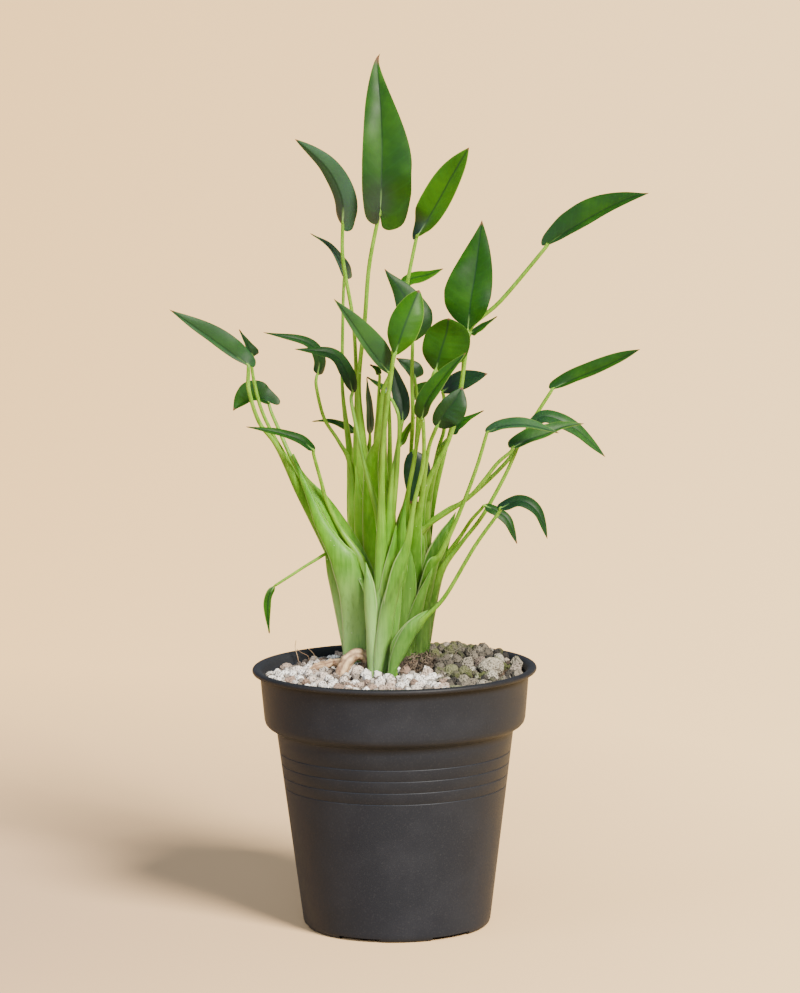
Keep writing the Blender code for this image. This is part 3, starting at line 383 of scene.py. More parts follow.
def lip_roll():
    """The rolled edge at the top, as a half circle of points from the outside to the inside."""
    radius = LIP_DEPTH / 2
    centre = (LIP_RADIUS - radius, LIP_TOP - radius)
    points = []
    for step in range(LIP_STEPS + 1):
        angle = -math.pi / 2 + math.pi * step / LIP_STEPS
        points.append((centre[0] + radius * math.cos(angle), centre[1] + radius * math.sin(angle)))
    return points


def pot_outline():
    low, high = PLAIN_WALL
    outline = UNDERSIDE + HEEL + [(wall_radius(low), low)]
    for height in GROOVE_HEIGHTS:
        for rise, depth in GROOVE_SHAPE:
            level = height + rise * GROOVE_WIDTH
            outline.append((wall_radius(level) - depth * GROOVE_DEPTH, level))
    return outline + [(wall_radius(high), high)] + STEP_OUT + COLLAR_HEAD + lip_roll() + INSIDE


def turned(outline, steps):
    """A closed form turned round the upright axis from an outline of (radius, height)."""
    bm = bmesh.new()
    verts = [bm.verts.new((radius, 0.0, height)) for radius, height in outline]
    edges = [bm.edges.new((verts[i], verts[(i + 1) % len(verts)])) for i in range(len(verts))]
    bmesh.ops.spin(bm, geom=verts + edges, cent=(0, 0, 0), axis=(0, 0, 1), angle=2 * math.pi, steps=steps)
    bmesh.ops.remove_doubles(bm, verts=bm.verts, dist=SAME_POINT)
    bmesh.ops.dissolve_degenerate(bm, edges=bm.edges, dist=SAME_POINT)
    return bm


# %% Cut the feet and the drain holes
FOOT_COUNT = 6
FOOT_GAP = (14.0, 19.0, 2 * FLOOR_UNDER)
FOOT_CIRCLE = 37.0
FOOT_FIRST_ANGLE = math.radians(-54.0)
DRAIN_RADIUS = 3.6
DRAIN_CIRCLE = 23.0
DRAIN_SIDES = 32
DRAIN_CUT = 8.0


def pot_cutters():
    """A box for each gap between feet and a rod for each drain hole, in one mesh."""
    bm = bmesh.new()
    for angle in angles_round(FOOT_COUNT):
        turn = Matrix.Rotation(FOOT_FIRST_ANGLE + angle, 4, "Z")
        box_place = turn @ Matrix.Translation((FOOT_CIRCLE, 0, 0)) @ Matrix.Diagonal((*FOOT_GAP, 1))
        bmesh.ops.create_cube(bm, size=1.0, matrix=box_place)
        rod_place = turn @ Matrix.Translation((DRAIN_CIRCLE, 0, FLOOR_TOP / 2))
        bmesh.ops.create_cone(bm, cap_ends=True, segments=DRAIN_SIDES, radius1=DRAIN_RADIUS,
                              radius2=DRAIN_RADIUS, depth=DRAIN_CUT, matrix=rod_place)
    return finish_piece("pot cutters", bm, smooth=False)


def cut(piece, cutters):
    modifier = piece.modifiers.new("cut", "BOOLEAN")
    modifier.operation = "DIFFERENCE"
    modifier.solver = "EXACT"
    modifier.object = cutters
    apply_modifiers(piece)
    bpy.data.objects.remove(cutters, do_unlink=True)


# %% [markdown]
# ### The pot's finish
# Moulded plastic of this kind is dark charcoal with a dull sheen. It is never one flat tone: dust leaves
# slightly paler, duller blotches, and pale specks stay in the fine grain of the mould. The grain is
# relief, so it catches the light only at a glance. The warm floor's reflected light would turn the wall
# brown, so the wall is painted a touch blue against that reflection, and the lip is painted neutral.

# %% Pot finish
# the wall's blue and the lip's neutral grey are painted against the floor's warm reflection
LIP_HEIGHTS = (0.1045, 0.1075)        # metres, where the wall's tones turn into the lip's
WALL_TONES = (rgb(22, 26, 33), rgb(30, 33, 39))        # clean and dusty
LIP_TONES = (rgb(23, 24, 27), rgb(31, 32, 34))
SPECK_TONE = rgb(46, 48, 51)
POT_CREASE = math.radians(38)
pot_finish, tree, shader, place = start_material("charcoal plastic")
dust = map_range(tree, mottle(tree, place, 45.0, 5.0, 0.6), 0.45, 0.8)
on_lip = map_range(tree, split(tree, place)[2], *LIP_HEIGHTS)
clean, dusty = [blend(tree, on_lip, wall, lip) for wall, lip in zip(WALL_TONES, LIP_TONES)]
speckle = map_range(tree, mottle(tree, place, 1500.0, 2.0), 0.55, 0.75, 0.0, 0.35)
join_inputs(tree, shader, {"Base Color": blend(tree, speckle, blend(tree, dust, clean, dusty), SPECK_TONE),
                           "Roughness": map_range(tree, dust, 0.0, 1.0, 0.5, 0.62),
                           "Specular IOR Level": 0.14})
raise_surface(tree, shader, mottle(tree, place, 1900.0, 3.0, 0.6), 0.22, 0.25)

pot = finish_piece("nursery_pot", turned(pot_outline(), POT_STEPS), pot_finish)
cut(pot, pot_cutters())
pot.data.shade_smooth()
pot.data.set_sharp_from_angle(angle=POT_CREASE)
settle(pot, "pot", "pot")

# %% [markdown]
# ## The filling
# Under the stones is dark potting mix. It is almost hidden, but its dark crumbs show in the clefts
# between the stones, and they make the gravel look deep. Its top follows the heap of the gravel 3 mm
# lower down, and the old root ball stands up from it between the front shoots. Fine noise makes it
# crumbly, and the sides follow the inside of the pot.

# %% Potting mix
GRAVEL_RADIUS = 54.2
GRAVEL_LEVEL = 106.3
CROWN_MOUND = (-2.0, 24.0, 4.5, 17.0)        # x, y, rise, spread
RIGHT_HEAP = (34.0, 28.0, 6.5, 20.0)
MIX_UNDER_STONES = 3.0
CRUMB_RELIEF = 1.1
CRUMB_NOISE = (0.8, 2.1, 4)                  # falloff, step between octaves, octaves
CRUMB_SCALE = 0.45
CLEARANCE = 0.35
ROOT_BALL = (7.0, 10.5, 8.2, 6.6, 110.8)     # x, y, reach sideways, reach back, top
ROOT_BALL_FALL = 4.5
MIX_RADIUS = 54.0
MIX_RINGS = 46
MIX_SIDES = 96
MIX_INSET = WALL + 0.7
MIX_SIDE = [(COLLAR_FOOT_RADIUS - MIX_INSET, COLLAR_FOOT + 2.0), (51.1, 87.9),
            (STEP_RADIUS - MIX_INSET, STEP_HEIGHT), (BASE_RADIUS - MIX_INSET - 1.0, FLOOR_TOP + CLEARANCE)]
SOIL_TONES = (rgb(34, 26, 19), rgb(92, 72, 54))


def gravel_height(x, y):
    """How high the gravel lies: nearly level, with a mound round the stalks and a heap on the right."""
    height = GRAVEL_LEVEL
    for centre_x, centre_y, rise, spread in (CROWN_MOUND, RIGHT_HEAP):
        height += rise * math.exp(-((x - centre_x) ** 2 + (y - centre_y) ** 2) / (2 * spread ** 2))
    return height


def root_ball_height(x, y):
    """The top of the old root ball, which stands up between the shoots in front."""
    ball_x, ball_y, wide, deep, top = ROOT_BALL
    away = math.hypot((x - ball_x) / wide, (y - ball_y) / deep)
    return top - ROOT_BALL_FALL * away ** 2


def mix_height(x, y):
    crumbs = noise.fractal(Vector((x, y, 0.0)) * CRUMB_SCALE, *CRUMB_NOISE) * CRUMB_RELIEF
    return max(gravel_height(x, y) - MIX_UNDER_STONES, root_ball_height(x, y)) + crumbs


def disc_of_rings(radius, rings, sides, height_of):
    """A round sheet of rings, raised by a height for each place. Returns the bmesh and its rim."""
    bm = bmesh.new()
    middle = bm.verts.new((0.0, 0.0, height_of(0.0, 0.0)))
    circles = []
    for ring in range(1, rings + 1):
        reach = radius * ring / rings
        circle = []
        for angle in angles_round(sides):
            x, y = reach * math.cos(angle), reach * math.sin(angle)
            circle.append(bm.verts.new((x, y, height_of(x, y))))
        circles.append(circle)
    for side in range(sides):
        following = (side + 1) % sides
        bm.faces.new((middle, circles[0][side], circles[0][following]))
        for inner, outer in zip(circles, circles[1:]):
            bm.faces.new((inner[side], outer[side], outer[following], inner[following]))
    return bm, circles[-1]


def close_down(bm, rim, outline):
    """Close a sheet from its rim down an outline of (radius, height), to a flat underside."""
    sides = len(rim)
    upper = rim
    for radius, height in outline:
        lower = []
        for angle in angles_round(sides):
            lower.append(bm.verts.new((radius * math.cos(angle), radius * math.sin(angle), height)))
        for side in range(sides):
            following = (side + 1) % sides
            bm.faces.new((upper[side], lower[side], lower[following], upper[following]))
        upper = lower
    bm.faces.new(upper)


mix_finish, tree, shader, place = start_material("damp potting mix")
crumb = mottle(tree, place, 420.0, 5.0, 0.7)
soil = blend(tree, map_range(tree, crumb, 0.35, 0.7), *SOIL_TONES)
join_inputs(tree, shader, {"Base Color": soil, "Roughness": 0.95})
raise_surface(tree, shader, crumb, 0.8, 0.8)

bm, rim = disc_of_rings(MIX_RADIUS, MIX_RINGS, MIX_SIDES, mix_height)
close_down(bm, rim, MIX_SIDE)
settle(finish_piece("potting_soil", bm, mix_finish), "mix", "potting_mix")

# %% [markdown]
# ## Pumice gravel
# Pumice is a light, pitted stone. The front and the left carry clean white, cream and pinkish grains of
# 3 to 6 mm, and smaller ones in the clefts. The heap on the right is older, grey-brown and mossy, and a
# little coarser. Hundreds of grains that lie on a surface are a task for Geometry Nodes: points are
# spread over a bed with a least distance between them, each gets one of a few lumpy shapes with a random
# turn and size, and each grain keeps a random number, its tone, from which the finish picks its colour.

# %% Lumpy stone shapes
STONE_SHAPES = 7
STONE_DENTS = 0.36
STONE_DETAIL = 2
STONE_CREASE = 44.0
STONE_WIDTHS = (0.72, 0.95)         # least and most, as shares of a stone's length
STONE_HEIGHTS = (0.6, 0.85)
STONE_SEED = 3
SEED_STEPS = (7.3, 3.1, 1.7)        # how far the noise moves on from one seed to the next
FINE_SCALE = 2.7                    # the finer dents, as shares of the wide ones
FINE_SHARE = 0.45


def lumpy_ball(name, seed, detail, dents, squash=(1.0, 1.0, 1.0), grain=1.3):
    """A ball of about 1 mm across with dents and corners."""
    bm = bmesh.new()
    bmesh.ops.create_icosphere(bm, subdivisions=detail, radius=0.5)
    shift = Vector([seed * step for step in SEED_STEPS])
    for vert in bm.verts:
        way = vert.co.normalized()
        wide = noise.noise(way * grain + shift)
        fine = noise.noise(way * grain * FINE_SCALE + shift)
        vert.co = way * 0.5 * (1.0 + dents * (wide + FINE_SHARE * fine))
    bmesh.ops.scale(bm, vec=squash, verts=bm.verts)
    return finish_piece(name, bm, sharp=STONE_CREASE)


def shape_box(name, shapes):
    """A collection that holds the shapes to be scattered, away from the scene."""
    box = bpy.data.collections.new(name)
    for shape in shapes:
        bpy.context.scene.collection.objects.unlink(shape)
        box.objects.link(shape)
    return box


rng = random.Random(STONE_SEED)
stone_shapes = []
for index in range(STONE_SHAPES):
    squash = (1.0, rng.uniform(*STONE_WIDTHS), rng.uniform(*STONE_HEIGHTS))
    stone_shapes.append(lumpy_ball("stone shape", index + 1, STONE_DETAIL, STONE_DENTS, squash))
stone_box = shape_box("stone shapes", stone_shapes)
print("stone shapes:", len(stone_shapes))

# %% A tree that scatters shapes over a surface
CROWDING = 3.0        # points that are tried on each square of the spacing, before the close ones go


def scatter(piece, box, finish, spacing, smallest, largest, seed, lean=math.pi):
    """Spread the shapes of a box over a piece's faces with Geometry Nodes, and keep only the shapes."""
    tree = bpy.data.node_groups.new("scatter", "GeometryNodeTree")
    tree.interface.new_socket("Bed", in_out="INPUT", socket_type="NodeSocketGeometry")
    sizes = {"Spacing": spacing * MM, "Smallest": smallest, "Largest": largest, "Lean": lean}
    for label in sizes:
        tree.interface.new_socket(label, in_out="INPUT", socket_type="NodeSocketFloat")
    tree.interface.new_socket("Seed", in_out="INPUT", socket_type="NodeSocketInt")
    tree.interface.new_socket("Shapes", in_out="OUTPUT", socket_type="NodeSocketGeometry")
    given = add_node(tree, "NodeGroupInput").outputs

    def pick(output, inputs, kind="FLOAT"):
        """A random value for each grain between two inputs."""
        inputs = {**inputs, "Seed": given["Seed"]}
        return add_node(tree, "FunctionNodeRandomValue", inputs, data_type=kind).outputs[output]

    per_square = math_node(tree, "POWER", given["Spacing"], -2.0)
    density = math_node(tree, "MULTIPLY", per_square, CROWDING)
    spread = add_node(tree, "GeometryNodeDistributePointsOnFaces",
                      {"Mesh": given["Bed"], "Distance Min": given["Spacing"], "Density Max": density,
                       "Seed": given["Seed"]}, distribute_method="POISSON")
    tilt = given["Lean"]
    turn_low = add_node(tree, "ShaderNodeCombineXYZ", {2: -math.pi}).outputs[0]
    turn_high = add_node(tree, "ShaderNodeCombineXYZ", {0: tilt, 1: tilt, 2: math.pi}).outputs[0]
    shapes = add_node(tree, "GeometryNodeCollectionInfo",
                      {"Collection": box, "Separate Children": True, "Reset Children": True})
    choice = pick(2, {4: 0, 5: len(box.objects) - 1}, "INT")
    grains = add_node(tree, "GeometryNodeInstanceOnPoints",
                      {"Points": spread.outputs["Points"], "Instance": shapes.outputs[0],
                       "Pick Instance": True, "Instance Index": choice,
                       "Rotation": pick(0, {0: turn_low, 1: turn_high}, "FLOAT_VECTOR"),
                       "Scale": pick(1, {2: given["Smallest"], 3: given["Largest"]})})
    toned = add_node(tree, "GeometryNodeStoreNamedAttribute",
                     {"Geometry": grains.outputs[0], "Name": "tone", "Value": pick(1, {2: 0.0, 3: 1.0})},
                     domain="INSTANCE")
    real = add_node(tree, "GeometryNodeRealizeInstances", {"Geometry": toned.outputs[0]})
    coloured = add_node(tree, "GeometryNodeSetMaterial", {"Geometry": real.outputs[0], "Material": finish})
    add_node(tree, "NodeGroupOutput", {"Shapes": coloured.outputs[0]})
    modifier = piece.modifiers.new("scatter", "NODES")
    modifier.node_group = tree
    sizes["Seed"] = seed
    for item in tree.interface.items_tree:
        if item.in_out == "INPUT" and item.name in sizes:
            modifier[item.identifier] = sizes[item.name]
    apply_modifiers(piece)
    return piece


# %% [markdown]
# ### The beds
# The grains lie on two beds, one under the pale gravel and one under the mossy heap. Round the stalks,
# the tufts of coir and the large pebble the beds have holes, so that no grain sits inside those. A
# second bed a little lower carries smaller grains, which fill the clefts.

# %% Gravel beds
# A shoot's foot is (x, y, radius), and a tuft is (x, y, reach sideways, reach back).
CROWN_FEET = ((-16, 24, 6.6), (-9, 39, 7.2), (-8, 6, 3.6), (-1, -2, 2.4), (7.5, 24, 6.8))
PEBBLE_CENTRE = (41.0, 0.0, 109.3)
PEBBLE_RADII = (5.4, 4.8, 4.2)
PEBBLE_ROOM = 5.8
COIR_TUFTS = ((9.5, 10.5, 8.5, 10.5), (-13.0, 9.5, 3.0, 2.6))
MOSSY_FROM = 17.0
MOSSY_SLANT = 0.22
BED_CELL = 1.3


def is_mossy(x, y):
    """The stones right of a slanting line are the older ones."""
    return x > MOSSY_FROM - MOSSY_SLANT * y


def is_coir(x, y):
    """True on the tufts of coir, between the front shoots and under the old root."""
    return any(math.hypot((x - tuft_x) / wide, (y - tuft_y) / deep) < 1.0
               for tuft_x, tuft_y, wide, deep in COIR_TUFTS)


def is_free(x, y, room):
    """True where a grain may lie, clear of the shoots, the tufts of coir and the pebble."""
    for foot_x, foot_y, radius in CROWN_FEET:
        if math.hypot(x - foot_x, y - foot_y) < radius + room:
            return False
    by_pebble = math.hypot(x - PEBBLE_CENTRE[0], y - PEBBLE_CENTRE[1]) < PEBBLE_ROOM + room
    return not is_coir(x, y) and not by_pebble


def bed(name, drop, covers):
    """The cells of a square grid for which covers is true, a little under the gravel's top."""
    bm = bmesh.new()
    corners = {}
    cells = int(GRAVEL_RADIUS / BED_CELL) + 1

    def corner(column, row):
        if (column, row) not in corners:
            x, y = column * BED_CELL, row * BED_CELL
            corners[(column, row)] = bm.verts.new((x, y, gravel_height(x, y) - drop))
        return corners[(column, row)]

    for row in range(-cells, cells):
        for column in range(-cells, cells):
            x, y = (column + 0.5) * BED_CELL, (row + 0.5) * BED_CELL
            if covers(x, y):
                bm.faces.new((corner(column, row), corner(column + 1, row), corner(column + 1, row + 1),
                              corner(column, row + 1)))
    return finish_piece(name, bm)


def gravel_bed(mossy, drop, room, radius):
    """Where one kind of gravel lies, out to a radius and clear of what stands in it."""
    return bed("gravel bed", drop,
               lambda x, y: math.hypot(x, y) < radius and is_mossy(x, y) == mossy and is_free(x, y, room))


# %% [markdown]
# ### The stones' finish
# A grain's tone picks white, cream, pink or grey. Pits come from a cell pattern used as relief and as a
# darker tint, painted shade in the pits, and the grains low in the clefts are painted with that tint too,
# as painted shade.
# The mossy stones run from grey to brown, with green where a wider noise says that moss has spread over
# several of them. Three places in front have more of it.

# %% Pumice finishes
PIT_SCALE = 1050.0
GRIT_SCALE = 900.0
PIT_DEPTHS = (0.64, 0.98)
# heights below which the grains low in the clefts get painted shade
CLEFT_SHADE_HEIGHTS = (0.104, 0.107)        # metres
CLEFT_SHADE_SHARE = 0.75
MOSS_PLACES = (        # centre and reach, metres
    ((0.0285, -0.004, 0.109), 0.011), ((0.026, 0.036, 0.113), 0.017), ((0.047, 0.006, 0.110), 0.008))
MOSS_CORE = 0.3                       # the inner share of a place, where the moss is thickest
MOSS_MORE = 0.2
MOSS_EDGE = (0.66, 0.76)
MOSS_COVER = 0.8
MOSS_GREEN = rgb(66, 72, 26)


def stone_finish(name, stops, pit_shade_colour, moss_share):
    """A pitted stone. stops are (tone, colour) pairs for the grains."""
    finish, tree, shader, place = start_material(name)
    ramp = add_node(tree, "ShaderNodeValToRGB", {"Fac": attribute(tree, "tone")})
    while len(ramp.color_ramp.elements) < len(stops):
        ramp.color_ramp.elements.new(0.5)
    for element, (tone, colour) in zip(ramp.color_ramp.elements, stops):
        element.position = tone
        element.color = colour
    pits = add_node(tree, "ShaderNodeTexVoronoi", {"Vector": place, "Scale": PIT_SCALE}).outputs["Distance"]
    rough = math_node(tree, "ADD", pits, mottle(tree, place, GRIT_SCALE, 4.0, 0.7))
    # painted shade in the pits, and below, painted shade on the grains low in the clefts
    colour = blend(tree, map_range(tree, rough, *PIT_DEPTHS), pit_shade_colour, ramp.outputs["Color"])
    low = map_range(tree, split(tree, place)[2], *CLEFT_SHADE_HEIGHTS, CLEFT_SHADE_SHARE, 0.0)
    colour = blend(tree, low, colour, pit_shade_colour)
    if moss_share:
        spread = math_node(tree, "ADD", mottle(tree, place, 90.0, 2.0, 0.5), moss_share)
        for centre, reach in MOSS_PLACES:
            away = distance_from(tree, place, centre)
            more = map_range(tree, away, MOSS_CORE * reach, reach, MOSS_MORE, 0.0)
            spread = math_node(tree, "ADD", spread, more)
        colour = blend(tree, map_range(tree, spread, *MOSS_EDGE, 0.0, MOSS_COVER), colour, MOSS_GREEN)
    join_inputs(tree, shader, {"Base Color": colour, "Roughness": 0.92})
    raise_surface(tree, shader, rough, 1.0, 0.8)
    return finish


WHITE_STOPS = ((0.0, rgb(46, 40, 34)), (0.17, rgb(122, 110, 98)),
               (0.38, rgb(196, 190, 180)), (0.66, rgb(236, 233, 226)),
               (0.84, rgb(182, 164, 148)), (1.0, rgb(112, 88, 72)))
MOSSY_STOPS = ((0.0, rgb(30, 25, 20)), (0.22, rgb(58, 53, 44)),
               (0.55, rgb(84, 77, 65)), (0.78, rgb(110, 102, 87)),
               (0.93, rgb(172, 166, 148)), (1.0, rgb(88, 62, 52)))
white_pumice = stone_finish("white pumice", WHITE_STOPS, rgb(78, 68, 60), moss_share=0.0)
mossy_pumice = stone_finish("mossy pumice", MOSSY_STOPS, rgb(26, 22, 16), moss_share=0.1)

# %% Scatter the gravel
# (name, node, slot, finish, two layers of (drop, room, radius, spacing, smallest, largest, seed))
GRAVELS = (
    ("pale_gravel", "gravel_white", "pumice", white_pumice,
     ((1.0, 2.2, 53.4, 3.7, 3.4, 6.2, 5), (2.1, 1.2, 54.2, 2.4, 2.0, 3.4, 8))),
    ("mossy_gravel", "gravel_mossy", "mossy_pumice", mossy_pumice,
     ((1.0, 2.2, 53.0, 4.3, 4.2, 7.6, 6), (2.1, 1.2, 54.0, 2.8, 2.2, 4.0, 9))))


def join_pieces(name, pieces):
    """Make one object of several that have the same finish."""
    bm = bmesh.new()
    for piece in pieces:
        bm.from_mesh(piece.data)
    mesh = bpy.data.meshes.new(name)
    bm.to_mesh(mesh)
    bm.free()
    mesh.polygons.foreach_set("material_index", [0] * len(mesh.polygons))
    mesh.materials.append(pieces[0].data.materials[-1])
    whole = add_object(name, mesh)
    for piece in pieces:
        bpy.data.objects.remove(piece, do_unlink=True)
    return whole


for name, node, slot, finish, layers in GRAVELS:
    grains = []
    for drop, room, radius, *sizes in layers:
        layer = gravel_bed(finish is mossy_pumice, drop, room, radius)
        grains.append(scatter(layer, stone_box, finish, *sizes))
    settle(join_pieces(name, grains), slot, node)

# %% [markdown]
# ## The large pebble
# One stone on the heap is much larger and rounder than the rest. It gets a fine mesh of its own, with
# shallow dents, and the pitted finish in a single grey.

# %% Pebble
PEBBLE_GREY = rgb(146, 138, 120)
pebble_finish = stone_finish("worn pebble", ((0.0, PEBBLE_GREY), (1.0, PEBBLE_GREY)), rgb(82, 72, 56),
                             moss_share=0.02)
pebble = lumpy_ball("worn_pebble", seed=5, detail=5, dents=0.14,
                    squash=tuple(2 * radius for radius in PEBBLE_RADII), grain=1.9)
pebble.data.transform(Matrix.Translation(Vector(PEBBLE_CENTRE) * MM))
pebble.data.materials.append(pebble_finish)
settle(pebble, "pebble", "large_pebble")

# %% [markdown]
# ## The leaves
# Each leaf is a blade on a long stalk. The table repeats the model's own values: the stalk's course and
# width, the course of the midrib, and the shape of each half of the blade. All are real sizes in
# millimetres. The tone runs from 0 for old, bluish leaves to 1 for young, yellow-green ones.

# %% The table of leaves
# A stalk is (x, depth, height, width) from inside its shoot to the blade, and a rib goes on from there
# to the tip. A half is (seen width, lean, lobe, share of the width beside the stalk), as seen with the
# tip ahead. belly is where along the rib the blade is widest, and full is how long it stays wide after
# that. sharp draws the tip out, curl turns the lobes back, wave bends the edge, dry is the length of the
# brown tip, and foot_shade darkens the foot with painted shade and gives it more gloss. wax is 1 for a
# plain gloss, less on a duller blade and more on a glossier one, which is also painted grey-blue as a
# painted sheen. full, sharp and curl may differ between the halves. All lengths are millimetres.
LEAVES = {}


def both(value):
    """A value for the left and the right half."""
    return value if isinstance(value, tuple) else (value, value)


def leaf(name, shoot, tone, stalk, rib, left, right, belly, full, wave=0.4, sharp=1.1, curl=0.4, dry=1.5,
         foot_shade=0.1, wax=1.0):
    LEAVES[name] = {"shoot": shoot, "tone": tone, "stalk": stalk, "rib": rib, "halves": (left, right),
                    "belly": belly, "full": both(full), "sharp": both(sharp), "curl": both(curl),
                    "wave": wave, "dry": dry, "foot_shade": foot_shade, "wax": wax}


leaf("tallest", "rear", 0.55, wax=0.9, left=(8.4, -0.2, 5, 0.85), right=(12.6, -0.3, 7, 0.92), belly=0.3,
     full=(2.3, 1.5), dry=5.0, foot_shade=0.75, sharp=(1.0, 1.5), wave=0.7,
     stalk=[(-12, 37, 133, 9), (-12, 35, 168, 8), (-13, 31, 203, 4.5), (-14, 30, 227, 2.6),
            (-11, 28, 255, 2.3), (-9, 26, 277, 2.2), (-5, 24, 297, 2)],
     rib=[(-4, 23, 299.5), (-3.1, 24, 318), (-3.1, 28, 338), (-4.5, 35, 361), (-3.4, 36, 366.5)])
leaf("top_left", "rear", 0.3, wax=2.0, left=(3.4, 0.9, 0.5, 0.5), right=(6.2, 0.1, 3.4, 0.9), belly=0.16,
     full=2.3, sharp=1.0, foot_shade=0.7,
     stalk=[(-15, 39, 133, 8), (-15, 38, 167, 7), (-15, 37, 202, 4), (-15, 35, 226, 2.3), (-16, 33, 253, 2),
            (-20, 31, 279, 2), (-20, 29.5, 294, 1.8)],
     rib=[(-20, 29, 295.4), (-19.8, 28, 304), (-22.2, 26, 312), (-26.4, 23, 319.3), (-32.4, 21, 325.5),
          (-39.5, 18, 331.6)])
leaf("top_right", "rear", 0.78, wax=0.9, left=(7.4, 0.1, 2.6, 0.6), right=(4.8, -0.3, 0.3, 0.45),
     belly=0.35, full=(2.6, 2.8), curl=(1.6, 0.2), foot_shade=0.9, sharp=(1.0, 1.0),
     stalk=[(-7, 35, 133, 8), (-5, 28, 169, 7), (-4, 24, 199, 4), (-2, 21, 225, 2.3), (4, 20, 251, 2),
            (7, 19, 270, 2), (11, 18, 289, 1.8)],
     rib=[(11.6, 17, 290.4), (15.6, 16, 296.8), (20.7, 14, 305.6), (26.6, 11, 316.4), (33.4, 8, 327.8)])
leaf("upper_left_dark", "rear", 0.25, wax=2.8, left=(1.3, -1.6, 0, 0.9), right=(3.4, 0.9, 1.2, 1.0),
     belly=0.15, full=1.0,
     stalk=[(-15, 42, 132, 7), (-17, 42, 167, 6), (-18, 43, 193, 4), (-21, 44.5, 221, 2),
            (-21, 47, 240, 1.8), (-20, 48, 269, 1.6)],
     rib=[(-19, 48, 271), (-21.5, 46, 277.5), (-26.5, 44, 285), (-34, 40, 290.5)])
leaf("far_right_high", "right", 0.5, left=(7.6, 0.35, 2.4, 0.6), right=(1.9, -1.0, 0.2, 0.5), belly=0.38,
     full=(2.1, 3.0), curl=(0.2, 0.2), sharp=(1.5, 1.0),
     stalk=[(10, 26, 134, 9), (13, 22, 169, 6), (18, 12, 192, 3), (26, 6, 211, 2.3), (29.7, 3.5, 231, 2.2),
            (32.4, 3.5, 251, 2.2), (46, 2, 264, 2.2), (64, -2, 285.5, 2)],
     rib=[(65.2, -2, 287.5), (75.6, -5, 294.3), (88, -8, 301.6), (98.5, -12, 306.7), (107, -16, 309.4)])
leaf("middle_tall", "right", 0.48, wax=0.3, left=(11.6, -0.05, 0, 0.3), right=(8.0, -0.15, 0, 0.3),
     belly=0.33, full=(1.5, 2.0), dry=2.4, sharp=(1.25, 1.05), wave=0.9,
     stalk=[(9, 22, 135, 8), (11, 14, 170, 5), (16, 7, 190, 2.6), (24, 3, 206, 2.3), (29, 0, 228, 2.2),
            (32, -1, 249, 2)],
     rib=[(32, -1, 251.5), (33.5, 0, 264.5), (36, 4, 279), (38.5, 8, 297.5)])
leaf("round", "right", 0.56, wax=0.8, left=(8.2, 0.45, 0.4, 0.5), right=(11.0, 0.1, 0.4, 0.45), belly=0.48,
     full=2.6, dry=0.9, sharp=0.75, wave=0.0,
     stalk=[(6, 20, 135, 8), (4, 15, 160, 9), (6, 9, 180, 3), (9, 3, 196, 2.2), (12, -3, 214, 2.1),
            (17, -10, 233, 2)],
     rib=[(18.5, -11, 236.5), (20.5, -12, 244), (23, -13, 252), (24, -16, 258.5)])
leaf("sliver", "right", 0.6, left=(1.2, 1.5, 0, 1.0), right=(1.5, -1.5, 0, 1.0), belly=0.3, full=1.2,
     stalk=[(11, 28, 134, 7), (15, 26, 169, 5), (22, 22, 197, 2.3), (28, 19, 221, 2), (32, 17, 244, 1.8)],
     rib=[(33.5, 17, 249), (37.5, 18, 251.5), (45, 20, 256)])
leaf("light_centre", "front", 0.72, wax=0.9, left=(6.6, 0.5, 0.6, 0.45), right=(6.6, 0.15, 0.8, 0.45),
     belly=0.42, full=2.3, sharp=0.85,
     stalk=[(-6, 4, 138, 5), (-5, 3, 164, 4.6), (-4.4, 1, 189, 3), (-3, -3, 212, 2.4), (0, -9, 235, 2.2),
            (1, -10.5, 242, 2.2)],
     rib=[(1.8, -11, 243.6), (4.6, -11, 252), (8, -9, 260.5), (12, -5, 269.4)])
leaf("dark_centre", "right", 0.38, left=(5.8, 0.1, 0.5, 0.6), right=(8.6, 0.3, 0.5, 0.5), belly=0.32,
     full=(1.5, 1.15), sharp=(1.0, 1.3),
     stalk=[(7, 24, 135, 8), (6, 24, 165, 5), (7, 24, 184, 2.4), (8, 19.8, 198.5, 2), (8.8, 9.5, 210.5, 2),
            (8.8, 3.5, 220, 2), (8.6, 3, 232, 2), (9, 3, 245.5, 1.8)],
     rib=[(9, 3, 247.5), (9, 5, 257), (5, 7, 267.5), (-2.5, 9, 277.5)])
leaf("light_back", "rear", 0.98, left=(2.6, 0.9, 0, 0.8), right=(2.4, -0.9, 0, 0.8), belly=0.3,
     full=(1.8, 1.8),
     stalk=[(-4, 40, 132, 7), (-2, 38, 167, 5), (-1, 37, 202, 2.3), (-1, 37, 228, 2), (3, 37, 253, 1.8),
            (4, 37, 266, 1.6)],
     rib=[(4.5, 37, 268.5), (9, 36, 271), (15.5, 34, 272.5), (22.5, 32, 275.5)])
leaf("light_left", "rear", 0.62, wax=1.5, left=(2.0, -0.4, 0.3, 0.6), right=(7.0, 0.1, 0.5, 0.5), belly=0.3,
     full=(2.4, 1.7), sharp=(1.0, 1.2),
     stalk=[(-8, 34, 124, 7), (-9, 26, 158, 8), (-9, 17, 192, 6), (-6, 10, 206, 3), (-4, 2, 225, 2.3),
            (-1, -2, 233, 2)],
     rib=[(-0.9, -3, 234.6), (-5.2, -5, 240.2), (-10.6, -8, 248), (-17, -11, 258), (-23.5, -14, 267)])
